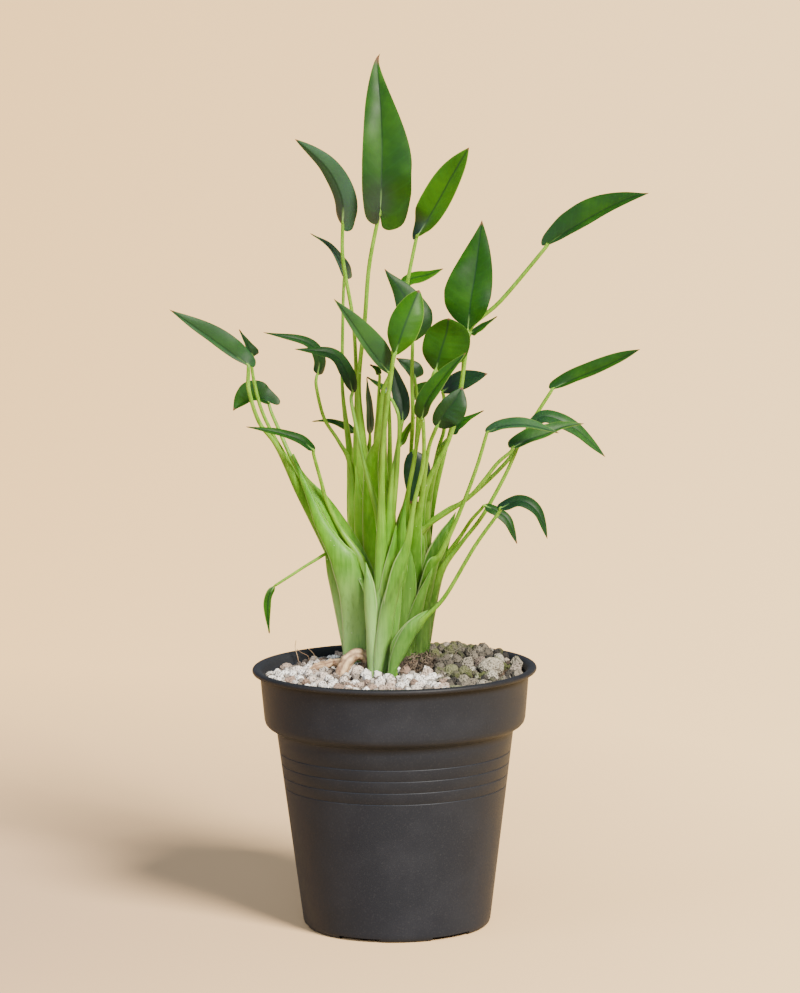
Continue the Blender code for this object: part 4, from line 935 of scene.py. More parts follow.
leaf("low_centre_dark", "front", 0.2, left=(3.8, -0.2, 0.3, 0.5), right=(3.2, -0.4, 0.3, 0.6), belly=0.3,
     full=(1.9, 1.9),
     stalk=[(-4, 7, 137, 6), (-2, 5, 167, 5), (0, 4, 189, 3), (2, 5, 201, 2.2), (4, 5, 212, 2)],
     rib=[(4.5, 6, 213.5), (4.5, 8, 221.5), (2, 11, 230.5), (-1.5, 14, 240)])
leaf("small_grey", "right", 0.25, left=(2.0, -0.9, 0, 0.9), right=(4.4, 0.4, 0.5, 1.0), belly=0.25,
     full=1.5,
     stalk=[(8, 28, 134, 7), (9, 27, 169, 4), (10, 20, 199, 2), (11, 16, 217, 1.8), (10, 14, 229.5, 1.6)],
     rib=[(10, 14, 231), (8.5, 14, 234), (2, 13, 239.5)])
leaf("bright_narrow", "front", 0.6, left=(4.6, 0.4, 0.5, 0.9), right=(2.2, -1.3, 0, 0.7), belly=0.3,
     full=(1.9, 1.9),
     stalk=[(-3, 0, 130, 6), (2, -1, 151, 7), (6, -3, 163, 4), (9, -5, 180, 2.4), (13, -9, 198, 2.2),
            (13, -17, 215.5, 2)],
     rib=[(12.5, -18, 217), (15, -20, 225), (22.5, -22, 235.5), (31, -24, 245)])
leaf("right_dark", "right", 0.12, left=(4.0, 0.7, 0.6, 0.7), right=(3.6, -0.6, 0.3, 0.6), belly=0.45,
     full=(1.8, 1.8),
     stalk=[(13, 26, 134, 7), (14, 22, 169, 4), (19, 16, 198, 2.2), (22, 14, 209, 2), (22, 13, 222, 1.8)],
     rib=[(21.5, 12, 225), (26.5, 11, 228.5), (33, 9, 231), (40.5, 7, 233)])
leaf("glossy", "right", 0.3, left=(4.4, -0.1, 0.8, 0.7), right=(7.4, -0.2, 0.8, 0.6), belly=0.4,
     full=(2.2, 2.2),
     stalk=[(9, 16, 136, 7), (9, 10, 162, 6), (12, 3, 180, 3), (15, -6, 202, 2.1), (18, -12, 211.5, 2)],
     rib=[(19, -13, 213.5), (21.5, -14, 218), (26, -14, 224), (29.5, -12, 229.5)])
leaf("edge_on", "right", 0.5, left=(1.3, 1.4, 0, 0.9), right=(1.9, -1.2, 0, 0.9), belly=0.3, full=1.2,
     stalk=[(15, 24, 134, 6), (14, 20, 170, 4), (18, 14, 194, 2.2), (21, 12, 202, 2), (24, 12, 205.5, 1.8)],
     rib=[(25, 12, 207), (27.5, 13, 210.5), (32, 14, 213.5), (39, 16, 216.5)])
leaf("hanging", "right", 0.08, wax=0.8, left=(6.6, 0.04, 0.8, 0.6), right=(4.8, 0.0, 0.8, 0.7), belly=0.35,
     full=(2.0, 2.0),
     stalk=[(8, 30, 134, 7), (8, 30, 160, 4), (9, 27, 182, 2.4), (9, 21, 196, 2), (9, 16.5, 199.5, 1.8)],
     rib=[(9, 14, 199), (9.5, 12.5, 192.5), (9, 12.2, 185), (7.5, 12.4, 177.5)])
leaf("left_inner", "front", 0.25, left=(2.5, -1.3, 0, 0.5), right=(3.2, 0.7, 0.6, 0.9), belly=0.25,
     full=(1.8, 1.8),
     stalk=[(-5, 6, 138, 6), (-4, 5, 161, 6), (-6, 6, 174, 4), (-11, 8, 192, 2.4), (-14, 10, 206, 2.1),
            (-17, 13, 221, 1.9)],
     rib=[(-16.5, 14, 225), (-19, 13, 233.5), (-25, 10, 241.5), (-40.5, 4, 244.5)])
leaf("left_middle", "rear", 0.25, left=(1.9, -1.2, 0, 0.9), right=(2.9, 0.8, 0.5, 1.0), belly=0.16,
     full=(1.6, 1.6),
     stalk=[(-15, 36, 133, 6), (-17, 36, 168, 5), (-18, 36, 191, 3), (-23, 35, 202, 2), (-29, 34, 212, 1.9),
            (-32, 33, 225, 1.8), (-32, 33, 229.5, 1.6)],
     rib=[(-31.5, 33, 231), (-31, 31, 238), (-36, 28, 245), (-54, 22, 250)])
leaf("left_low_back", "rear", 0.6, left=(1.4, -1.4, 0, 0.9), right=(1.6, 0.9, 0, 0.9), belly=0.25, full=1.2,
     stalk=[(-13, 44, 132, 6), (-14, 47, 166, 4), (-14, 51, 192, 2.2), (-15, 53, 201, 1.8)],
     rib=[(-16, 53, 203.5), (-20.5, 52, 206.5), (-27.5, 50, 209), (-34.5, 48, 209)])
leaf("far_left", "left", 0.42, wax=1.4, left=(1.5, -1.0, 0.3, 0.5), right=(6.2, 0.2, 3.0, 0.8), belly=0.32,
     full=(2.4, 1.9), dry=2.2, sharp=(1.0, 1.25),
     stalk=[(-16, 24, 132, 10), (-22, 23, 150, 10), (-28, 21, 163, 9), (-34, 19, 174, 7), (-40, 17, 185, 5),
            (-49, 14, 203, 2.6), (-56, 12, 213, 2.2), (-60, 9, 227, 2.1), (-60, 8, 235.5, 2)],
     rib=[(-60.2, 8, 237.6), (-66.8, 7, 242.6), (-74.1, 5, 248.3), (-81.1, 3, 253.6), (-92.3, 0, 262)])
leaf("far_left_back", "left", 0.2, left=(1.3, -1.4, 0, 0.9), right=(3.4, 0.5, 0, 1.0), belly=0.15, full=0.9,
     stalk=[(-15, 27, 134, 8), (-21, 26, 154, 6), (-31, 24, 172, 4), (-41, 22, 190, 3), (-49, 20, 204, 2),
            (-55, 19, 217, 1.9), (-58, 19, 229, 1.8), (-59, 19, 237, 1.6)],
     rib=[(-58.5, 19, 240), (-60.5, 18, 244.5), (-64, 16, 252)])
leaf("left_wide", "front", 0.5, left=(1.2, -2.0, 1.0, 0.9), right=(7.4, 0.1, 4.6, 0.6), belly=0.4, full=1.8,
     stalk=[(-9, 9, 135, 6), (-12, 12.6, 148, 8), (-19, 15, 161, 9), (-28, 14.6, 177, 6),
            (-37, 15, 188, 3.6), (-43, 16, 198, 2.4), (-48, 20, 209, 2), (-51, 23.5, 215.5, 1.8)],
     rib=[(-52.5, 25, 220), (-57.5, 26, 222), (-62.5, 26, 220), (-67.5, 25, 216.5)])
leaf("left_low", "front", 0.4, left=(1.3, -1.5, 0, 0.8), right=(2.3, 0.8, 0.5, 0.9), belly=0.2,
     full=(1.8, 1.8),
     stalk=[(-8, 9, 137, 5), (-13, 12, 153, 4), (-22, 15, 166, 3), (-28, 14, 179, 2.4), (-30, 11, 187, 2),
            (-33, 6, 199.5, 1.8)],
     rib=[(-33, 5, 201.5), (-39, 2, 206.5), (-48.5, -1, 210), (-61, -5, 213)])
leaf("drooping_young", "left", 0.7, left=(1.4, 0.3, 0, 0.9), right=(1.8, -0.4, 0, 0.8), belly=0.4, full=1.4,
     stalk=[(-19, 21, 135, 7), (-24, 19, 149, 5), (-25, 18, 157, 2.2), (-34, 15, 153, 1.6),
            (-44, 13, 147, 1.5), (-49, 12, 144, 1.4)],
     rib=[(-50.5, 12, 143), (-53, 11, 138.5), (-53.5, 11, 132), (-53, 12, 122.5)])
leaf("far_right", "right", 0.55, left=(4.4, 0.3, 2.0, 0.8), right=(1.3, -1.0, 0.2, 0.6), belly=0.3,
     full=(3.4, 3.4), sharp=(1.2, 1.0),
     stalk=[(13, 20, 135, 7), (12, 17, 159, 5), (14, 16, 167, 3.4), (23, 17, 174, 2.6), (32, 18, 179, 2.3),
            (50, 19, 196, 2.1), (61, 19, 214, 2), (67, 18, 223.5, 1.8)],
     rib=[(68.4, 18, 225.4), (77.9, 17, 229.6), (86.3, 15, 233.1), (93.8, 13, 236.6), (104.6, 9, 242.5)])
leaf("right_arched", "right", 0.6, wax=1.7, left=(3.2, 0.5, 1.2, 0.8), right=(1.0, -1.2, 0, 0.8),
     belly=0.35, full=(2.2, 2.2),
     stalk=[(11, 18, 127, 8), (16, 9, 151, 6), (20, 6, 157, 3), (28, 1, 175, 2.2), (35, -4, 194, 2),
            (39, -7, 207.5, 1.8)],
     rib=[(39.9, -8, 210), (45, -10, 212.2), (51.6, -12, 213.3), (58.4, -13, 212.8), (69.4, -15, 210.1)])
leaf("right_bright", "right", 0.6, wax=1.2, left=(4.6, 0.4, 1.8, 0.9), right=(1.2, -1.2, 0.2, 0.7),
     belly=0.25, full=(1.7, 1.7),
     stalk=[(11, 19, 135, 7), (11, 13, 160, 5), (13, 12, 167, 3), (31, 6, 180, 2.3), (38, 2, 188, 2.1),
            (44, -1, 196, 2), (49.5, -3, 201, 1.8)],
     rib=[(50.6, -4, 203), (57.7, -4, 206.3), (64.6, -3, 208.4), (71.6, -1, 211), (80.5, 0, 212.3)])
leaf("right_drooping", "right", 0.5, wax=1.3, left=(3.0, 0.8, 0.6, 0.7), right=(2.6, -1.3, 0, 0.7),
     belly=0.4, full=(2.2, 2.2),
     stalk=[(14, 19, 127, 7), (20, 14, 148, 4), (29, 11, 161, 2.3), (38, 8, 173, 2.1), (48, 7, 191, 2),
            (55, 7, 207, 1.8)],
     rib=[(56.5, 7, 209), (64.5, 8, 214.5), (77, 9, 209), (90, 13, 196.5)])
leaf("right_low", "small", 0.18, left=(2.6, 0.9, 1.4, 0.9), right=(2.0, -1.3, 0, 0.8), belly=0.35,
     full=(2.2, 2.2),
     stalk=[(0, -3, 114, 4), (2, -4, 120, 6.5), (8, -6, 128, 6.5), (14, -8, 133, 2.8), (22, -10, 142, 2.2),
            (34, -15, 163, 2), (44, -19, 177.5, 1.8)],
     rib=[(44.5, -20, 179.5), (53, -21, 182.5), (60, -22, 178), (64, -24, 167)])
leaf("right_lowest", "right", 0.45, left=(1.8, 0.7, 0.4, 0.9), right=(2.2, -0.8, 0, 0.8), belly=0.4,
     full=(2.0, 2.0),
     stalk=[(12, 23, 126, 6), (19, 19, 148, 3.4), (29, 13, 164, 2.1), (33, 7, 171, 1.9), (37, 3, 176, 1.7)],
     rib=[(38.5, 1, 178), (44, 0, 175.5), (48.5, -1, 171.5), (52, -3, 162)])
leaf("centre_dark", "rear", 0.3, wax=1.7, left=(1.3, -1.6, 0, 0.9), right=(1.8, 1.3, 0, 0.9), belly=0.35,
     full=1.6,
     stalk=[(-10, 40, 132, 6), (-10, 38, 167, 5), (-10, 35, 194, 3), (-9.5, 32, 203, 1.8)],
     rib=[(-9.5, 31, 205), (-9.5, 29, 213.5), (-10, 27, 221.5), (-10.5, 26, 230)])
leaf("centre_tip", "rear", 0.6, left=(1.2, -0.4, 0, 1.0), right=(1.2, 0.4, 0, 1.0), belly=0.3, full=1.4,
     stalk=[(-7, 34, 133, 6), (-7, 28, 169, 5), (-7, 19, 200, 3), (-6, 6, 217, 1.8), (-5, 2.5, 231, 1.6)],
     rib=[(-5, 2, 233.5), (-6, 1.5, 236), (-9, 0.5, 238)])
leaf("centre_narrow", "front", 0.6, left=(1.2, -0.8, 0, 1.0), right=(1.2, 0.4, 0, 1.0), belly=0.3, full=1.4,
     stalk=[(-3, 8, 137, 5), (-1, 6, 167, 4), (2, 3, 193, 2.4), (3, 1, 214, 1.8), (1, 3, 221, 1.6),
            (-1, 5.5, 224, 1.4)],
     rib=[(-2, 6.5, 225.5), (-3.5, 7.5, 227.5), (-6.5, 8.5, 229.5), (-10.5, 9, 232)])
leaf("olive_back", "right", 0.45, left=(3.2, 0.4, 0, 0.7), right=(2.0, -0.6, 0, 0.8), belly=0.35, full=1.6,
     stalk=[(6, 30, 134, 6), (7, 30, 168, 4), (8, 28, 199, 2), (9, 27, 218.5, 1.6)],
     rib=[(9.5, 26, 220.5), (12, 25.5, 224), (17, 25, 228.5)])
leaf("young_rolled", "rear", 0.95, left=(1.5, -0.8, 0, 0.9), right=(1.6, 0.8, 0, 0.9), belly=0.35, full=1.4,
     stalk=[(-3, 33, 133, 6), (-1, 30, 160, 5), (0, 27, 182, 3), (2, 25, 198.5, 1.8)],
     rib=[(3.5, 24, 201), (6, 23, 207), (10, 22, 213.5)])
print("leaves:", len(LEAVES))

# %% [markdown]
# ### The form of a blade
# A blade is a ruled net: rows run from the midrib to the edge. Behind the stalk the rows fan backward
# round the lobes, and beyond the widest place the edge draws in to a long fine tip. The net is bent a
# little upward between rib and edge, rippled over the side veins, waved along the edge, grooved over the
# rib, and given two faces that come closer together at the edge. Every point also stores how far it is
# from the rib, the edge and the tip, because the finish draws the midrib, the pale edge and the brown
# tip from those.

# %% Smooth curves


def curve_through(points, count):
    """Points spread along a smooth curve through the given ones."""
    given = [np.array(point, float) for point in points]
    ends = [2 * given[0] - given[1]] + given + [2 * given[-1] - given[-2]]
    result = []
    for step in range(count):
        place = step / (count - 1) * (len(given) - 1)
        span = min(int(place), len(given) - 2)
        t = place - span
        a, b, c, d = ends[span:span + 4]
        result.append(0.5 * ((2 * b) + (c - a) * t + (2 * a - 5 * b + 4 * c - d) * t * t
                             + (3 * b - a - 3 * c + d) * t ** 3))
    return result


def curve_in_steps(points, steps):
    """The smooth curve with as many steps between any two of the given points."""
    return curve_through(points, (len(points) - 1) * steps + 1)


def directions(points):
    """The way that a curve heads at each of its points."""
    steps = []
    for index in range(len(points)):
        before = points[max(index - 1, 0)][:3]
        after = points[min(index + 1, len(points) - 1)][:3]
        steps.append(unit(after - before))
    return steps


# %% Rows of a blade
# The foot of a half runs from the notch round the lobe: (place, how far back, how far out), as shares of
# the place of the belly, of the lobe and of the width beside the stalk.
FOOT_EDGE = ((0.0, 0.0, 0.0), (0.02, 0.85, 0.07), (0.07, 1.15, 0.4), (0.18, 1.0, 0.84))
FOOT_STARTS = (0.0, 0.1, 0.2, 0.32)
SIDE_EDGE = ((0.45, 0.34, 0.4), (0.68, 0.64, 0.85))      # (start, place, share of the rest of the width)
NOTCH = 0.25
LEAST_FOOT = 0.9
TIP_HALF_WIDTH = 0.42
TIP_BLUNTNESS = 22
TAPER_COUNT = 24
ROWS_A_SPAN = 4
AWAY = np.array((0.0, 0.9917, -0.1288))      # straight away from the camera
RIB_POINTS = 61
HEADING_AHEAD = 4        # points before and behind that the rib's heading is taken over
HEADING_BEHIND = 3


class Rib:
    """The midrib of a blade, measured along its length."""

    def __init__(self, spec):
        self.points = curve_through(spec["rib"], RIB_POINTS)
        steps = [np.linalg.norm(b - a) for a, b in zip(self.points, self.points[1:])]
        self.lengths = np.concatenate(([0.0], np.cumsum(steps)))
        self.length = self.lengths[-1]

    def at(self, place):
        """The point at a share of the length, and the way the rib heads there."""
        where = place * self.length
        index = min(max(int(np.searchsorted(self.lengths, where)) - 1, 0), RIB_POINTS - 2)
        share = (where - self.lengths[index]) / (self.lengths[index + 1] - self.lengths[index])
        point = self.points[index] + (self.points[index + 1] - self.points[index]) * share
        ahead = self.points[min(index + HEADING_AHEAD, RIB_POINTS - 1)]
        return point, unit(ahead - self.points[max(index - HEADING_BEHIND, 0)])


def half_outline(spec, side):
    """The rows of one half: (where the row leaves the rib, place, how far back, how far out)."""
    width, lean, lobe, base = spec["halves"][side]
    belly, full, sharp = spec["belly"], spec["full"][side], spec["sharp"][side]
    real = width * math.hypot(1.0, lean)
    foot = max(base * real, LEAST_FOOT)
    rows = []
    for start, (place, back, out) in zip(FOOT_STARTS, FOOT_EDGE):
        rows.append((start * belly, place * belly, back * lobe, NOTCH + out * (foot - NOTCH)))
    for start, place, share in SIDE_EDGE:
        rows.append((start * belly, place * belly, 0.0, foot + share * (real - foot)))
    taper = []
    for step in range(TAPER_COUNT):
        share = step / TAPER_COUNT
        place = belly + share * (1 - belly)
        drawn = real * (1 - share ** full) ** sharp
        taper.append((place, place, 0.0, max(drawn, TIP_HALF_WIDTH * (1 - share ** TIP_BLUNTNESS))))
    rows += taper[:2]
    smooth = curve_in_steps(rows, ROWS_A_SPAN)[:-ROWS_A_SPAN]
    return [tuple(row) for row in smooth] + taper[1:]


# %% The net of a blade
COLUMNS = (0.0, 0.05, 0.13, 0.28, 0.46, 0.64, 0.8, 0.92, 1.0)
BLADE_BULGE = 0.05
BLADE_THICKNESS = 0.5
EDGE_THICKNESS = 0.22
EDGE_FLESH = 2.0         # how far in from the edge the blade reaches its full thickness
TIP_THICKNESS = 0.06
RIB_RIDGE = 0.6
RIB_GROOVE = 0.14        # depth of the groove on the upper face, as a share of the ridge below
RIB_HALF_WIDTH = 0.9
RIB_TAPER = 1.5
RIPPLE = 0.039
VEINS = 9                # side veins on each half
VEIN_SLANT = 0.9
VEIN_WIDTH = 6.0         # a narrower half has shallower ripples
WAVE_RATE = 14
WAVE_EASE = 4.0
CURL_REACH = 0.24
BLADE_CREASE = 60.0


def half_net(spec, rib, side):
    """Points, and what the finish needs to know at each, for each row of one half."""
    net = []
    way = (1, -1)[side]
    for start, place, back, out in half_outline(spec, side):
        middle, heading = rib.at(max(place, 0.0))
        origin = rib.at(start)[0]
        beside = way * unit((-heading[2], 0.0, heading[0]))
        lean = spec["halves"][side][1] + spec["curl"][side] * max(0.0, 1 - place / CURL_REACH)
        outward = unit(beside + AWAY * lean)
        upper = np.cross(heading, outward) * way
        wave = spec["wave"] * math.sin(place * WAVE_RATE + way) * out / (out + WAVE_EASE)
        edge = middle - heading * back + outward * out + upper * wave
        reach = np.linalg.norm(edge - origin)
        row = []
        for column in COLUMNS:
            point = origin + (edge - origin) * column
            arch = 4 * column * (1 - column)
            veins = math.sin((start * VEINS - column * VEIN_SLANT) * 2 * math.pi) * RIPPLE * arch
            point = point + upper * (BLADE_BULGE * out * arch + veins * min(out / VEIN_WIDTH, 1.0))
            row.append((point, column * reach, (1 - column) * reach, start, way * column))
        net.append(row)
    return net


def blade_net(spec, rib):
    """Whole rows from the left edge over the rib to the right edge."""
    left = half_net(spec, rib, 0)
    right = half_net(spec, rib, 1)
    rows = []
    for left_row, right_row in zip(left, right):
        rows.append(left_row[::-1] + right_row[1:])
    return rows


def net_normals(grid):
    """The way that each point of a net faces."""
    down = np.gradient(grid, axis=0)
    across = np.gradient(grid, axis=1)
    facing = np.cross(across, down)
    size = np.linalg.norm(facing, axis=2, keepdims=True)
    return facing / np.maximum(size, 1e-9)


def half_thickness(row, under):
    """How far a face of the blade lies from the net, with the ridge of the midrib underneath."""
    thick = []
    for _, from_rib, from_edge, along, _ in row:
        flesh = EDGE_THICKNESS + (BLADE_THICKNESS - EDGE_THICKNESS) * min(from_edge / EDGE_FLESH, 1.0)
        ridge = RIB_RIDGE * (1 - along) ** RIB_TAPER * max(0.0, 1 - from_rib / RIB_HALF_WIDTH)
        thick.append(flesh / 2 + (ridge if under else -RIB_GROOVE * ridge))
    return thick


def make_blade(name, spec, finish):
    rib = Rib(spec)
    rows = blade_net(spec, rib)
    grid = np.array([[entry[0] for entry in row] for row in rows])
    facing = net_normals(grid)
    tip = rib.at(1.0)[0]
    bm = bmesh.new()
    facts = []
    faces = {}
    for under in (False, True):
        way = -1.0 if under else 1.0
        verts = []
        for row, points, normals in zip(rows, grid, facing):
            thick = half_thickness(row, under)
            line = []
            for entry, point, normal, depth in zip(row, points, normals, thick):
                line.append(bm.verts.new(point + normal * depth * way))
                facts.append((*entry[1:4], np.linalg.norm(point - tip) / spec["dry"], float(under), entry[4]))
            verts.append(line)
        end = bm.verts.new(tip + facing[-1][len(COLUMNS) - 1] * TIP_THICKNESS * way)
        facts.append((0.0, 0.0, 1.0, 0.0, float(under), 0.0))
        faces[under] = (verts, end)
    skin(bm, faces)
    piece = finish_piece("blade_" + name, bm, finish, sharp=BLADE_CREASE)
    titles = ("from_rib", "from_edge", "along", "from_tip", "under", "across")
    for index, title in enumerate(titles):
        store(piece.data, title, [fact[index] for fact in facts])
    for title in ("tone", "foot_shade", "wax"):
        store(piece.data, title, [spec[title]] * len(facts))
    return piece


def skin(bm, faces):
    """Cover both faces of a blade and join them all round the edge."""
    border = {}
    for under, (verts, end) in faces.items():
        for upper_row, lower_row in zip(verts, verts[1:]):
            for a, b, c, d in zip(upper_row, upper_row[1:], lower_row[1:], lower_row):
                bm.faces.new((a, d, c, b) if under else (a, b, c, d))
        last = verts[-1]
        for a, b in zip(last, last[1:]):
            bm.faces.new((a, end, b) if under else (a, b, end))
        left = [row[0] for row in verts]
        right = [row[-1] for row in verts]
        border[under] = verts[0][::-1] + left[1:] + [end] + right[::-1][:-1]
    upper, lower = border[False], border[True]
    for index in range(len(upper)):
        following = (index + 1) % len(upper)
        bm.faces.new((upper[index], upper[following], lower[following], lower[index]))


# %% [markdown]
# ### The leaves' finish
# The upper face is deep, slightly bluish green with a waxy gloss, and a young leaf is a vivid
# yellow-green. A waxier leaf is painted grey-blue, a painted sheen. The blade is painted a little darker
# toward its foot, and the foot darker still, most of all on its left half: painted shade. The foot is also
# glossier. Faint veins run out from the midrib, which is pale near the stalk and dark beyond. A thin
# pale line without shine follows the edge, and the drawn-out tip is dry and brown. The underside is
# paler and dull. A little subsurface scattering lets light glow through the thin mesh.

# %% Leaf finish
GREENS = (rgb(14, 33, 22), rgb(16, 51, 3), rgb(40, 84, 0))     # old to young
# a grey-blue painted sheen for the waxier leaves
PAINTED_SHEEN = rgb(58, 86, 74)
# the colour of the painted shade on the foot of a blade
FOOT_PAINTED_SHADE = rgb(8, 22, 22)
VEIN_GREEN = rgb(34, 84, 40)
RIB_TONES = (rgb(116, 160, 84), rgb(8, 34, 16))            # near the stalk and beyond
UNDER_TONES = (rgb(84, 118, 84), rgb(132, 172, 74))        # of an old and a young leaf
UNDER_RIB = rgb(150, 184, 110)
EDGE_TONES = (rgb(28, 56, 28), rgb(128, 150, 70))          # of an old and a young leaf
DRY_BROWN = rgb(82, 54, 40)
# where along and across the blade the foot's painted shade lies, strongest on the left half
FOOT_SHADE_ALONG = (0.07, 0.26)
FOOT_SHADE_ACROSS = (-0.6, 0.0)
VEIN_COUNT = 13.0
VEIN_SWEEP = 1.6
leaf_finish, tree, shader, place = start_material("waxy leaf")
tone, along, across, from_rib, from_edge, from_tip, under, foot_shade, wax = [
    attribute(tree, title)
    for title in ("tone", "along", "across", "from_rib", "from_edge", "from_tip", "under", "foot_shade", "wax")]
blotches = map_range(tree, mottle(tree, place, 70.0, 3.0, 0.55), 0.3, 0.7, -0.18, 0.18)
# painted shade: the whole blade is a little darker toward its foot
foot_shade_level = map_range(tree, along, 0.0, 0.45, -0.12, 0.06)
level = math_node(tree, "ADD", math_node(tree, "ADD", tone, blotches), foot_shade_level)
green = blend(tree, map_range(tree, level, 0.0, 0.5), *GREENS[:2])
green = blend(tree, map_range(tree, level, 0.5, 1.0), green, GREENS[2])
# painted sheen: the waxier a leaf, the more grey-blue it is painted
green = blend(tree, map_range(tree, wax, 1.0, 3.0, 0.0, 0.7), green, PAINTED_SHEEN)
# painted shade on the foot, most of all on its left half
foot_shade = math_node(tree, "MULTIPLY", foot_shade, map_range(tree, along, *FOOT_SHADE_ALONG, 1.0, 0.0))
foot_shade = math_node(tree, "MULTIPLY", foot_shade, map_range(tree, across, *FOOT_SHADE_ACROSS, 0.1, 1.0))
green = blend(tree, foot_shade, green, FOOT_PAINTED_SHADE)
sweep = math_node(tree, "MULTIPLY", math_node(tree, "ABSOLUTE", across), VEIN_SWEEP)
vein_place = math_node(tree, "SUBTRACT", math_node(tree, "MULTIPLY", along, VEIN_COUNT), sweep)
vein_wave = math_node(tree, "SINE", math_node(tree, "MULTIPLY", vein_place, 2 * math.pi))
green = blend(tree, map_range(tree, vein_wave, 0.75, 1.0, 0.0, 0.06), green, VEIN_GREEN)
rib_shade = map_range(tree, from_rib, 0.12, 0.6, 0.7, 0.0)
green = blend(tree, rib_shade, green, blend(tree, map_range(tree, along, 0.02, 0.16), *RIB_TONES))
under_green = blend(tree, rib_shade, blend(tree, tone, *UNDER_TONES), UNDER_RIB)
green = blend(tree, under, green, under_green)
edge_colour = blend(tree, map_range(tree, tone, 0.5, 0.75), *EDGE_TONES)
green = blend(tree, map_range(tree, from_edge, 0.08, 0.3, 0.5, 0.0), green, edge_colour)
green = blend(tree, map_range(tree, from_tip, 0.55, 1.1, 0.9, 0.0), green, DRY_BROWN)
smooth = map_range(tree, mottle(tree, place, 160.0, 3.0), 0.3, 0.7, 0.43, 0.53)
dull = math_node(tree, "ADD", smooth, math_node(tree, "MULTIPLY", under, 0.15))
roughness = math_node(tree, "SUBTRACT", dull, map_range(tree, along, 0.03, 0.2, 0.24, 0.0))
gloss = map_range(tree, wax, 0.0, 1.0, 0.03, 0.13)
shine = math_node(tree, "ADD", gloss, math_node(tree, "MULTIPLY", foot_shade, 0.28))
shine = math_node(tree, "MULTIPLY", shine, map_range(tree, from_edge, 0.05, 0.3, 0.1, 1.0))
join_inputs(tree, shader, {"Base Color": green, "Roughness": roughness, "Specular IOR Level": shine,
                           "Subsurface Weight": 0.18, "Subsurface Radius": (0.4, 1.0, 0.15),
                           "Subsurface Scale": 0.0012})
relief = math_node(tree, "ADD", math_node(tree, "MULTIPLY", vein_wave, 0.1), mottle(tree, place, 500.0, 2.0))
raise_surface(tree, shader, relief, 0.1, 0.3)

for name, spec in LEAVES.items():
    settle(make_blade(name, spec, leaf_finish), "blade", "leaf_" + name)

# %% [markdown]
# ## Stalks and sheaths
# An alocasia has no trunk. Each leaf stalk opens at its foot into a sheath, a wide curved trough that
# wraps the younger stalks inside it. Higher up the trough closes into a round stalk of 2 mm. One
# outline does both: a ring of points whose inner half is pushed outward as the stalk widens, until it
# lies close behind the outer half as a thin curved wall with fine pale margins.

# %% The section of a stalk
RING_ANGLES = [math.radians(angle) for angle in
               (0, 14, 26, 45, 68, 90, 112, 135, 154, 166, 180, 189, 205, 230, 270, 310, 335, 351)]
RING_MARGINS = (1.0, 0.8, 0, 0, 0, 0, 0, 0, 0, 0.8, 1.0, 0.5, 0, 0, 0, 0, 0, 0.5)
SHEATH_FROM = 2.8
SHEATH_FULL = 5.5
SHEATH_DEPTH = 0.46
ROUND_WIDTH = 2.6        # up to here a stalk is as deep as it is wide
WALL_MIDDLE = 1.3        # thickness of a trough in its middle
WALL_LEAST = 0.35
RINGS_A_SPAN = 6
SLIMNESS = 0.8


def seen_width(width):
    """A round stalk is a little slimmer than its solid in the model, and a sheath is as wide."""
    return width * (SLIMNESS + (1 - SLIMNESS) * sheath_share(width))


def stalk_depth(width):
    return width if width < ROUND_WIDTH else ROUND_WIDTH + (width - ROUND_WIDTH) * SHEATH_DEPTH


def sheath_share(width):
    """0 for a round stalk, 1 for an open sheath, with a soft change between."""
    share = min(max((width - SHEATH_FROM) / (SHEATH_FULL - SHEATH_FROM), 0.0), 1.0)
    return share * share * (3 - 2 * share)


def section_axes(along, facing):
    """The ways across and outward of a section that stands square on a curve."""
    across = unit(np.cross(along, facing))
    return across, np.cross(across, along)


def loft(bm, rings):
    """Cover rings of points one after the other, and close both ends."""
    for lower, upper in zip(rings, rings[1:]):
        for a, b, c, d in zip(lower, lower[1:] + lower[:1], upper[1:] + upper[:1], upper):
            bm.faces.new((a, b, c, d))
    bm.faces.new(rings[0])
    bm.faces.new(rings[-1])


def add_stalk(bm, facts, points, facing, always_open=False, deeper=1.0):
    """Loft a stalk through points of (x, depth, height, width). facing is the way its outer side looks."""
    rings = []
    for point, along in zip(points, directions(points)):
        across, outward = section_axes(along, facing)
        opened = 1.0 if always_open else sheath_share(point[3])
        width = seen_width(point[3])
        front = stalk_depth(width) / 2 * deeper
        wall = max(front - WALL_MIDDLE, WALL_LEAST * front)
        ring = []
        for angle, margin in zip(RING_ANGLES, RING_MARGINS):
            side = math.cos(angle) * width / 2
            height = front * math.sin(angle)
            if height < 0:
                height = height * (1 - opened) - wall * math.sin(angle) * opened
            ring.append(bm.verts.new(point[:3] + across * side + outward * height))
            facts.append((margin * opened, opened))
        rings.append(ring)
    loft(bm, rings)


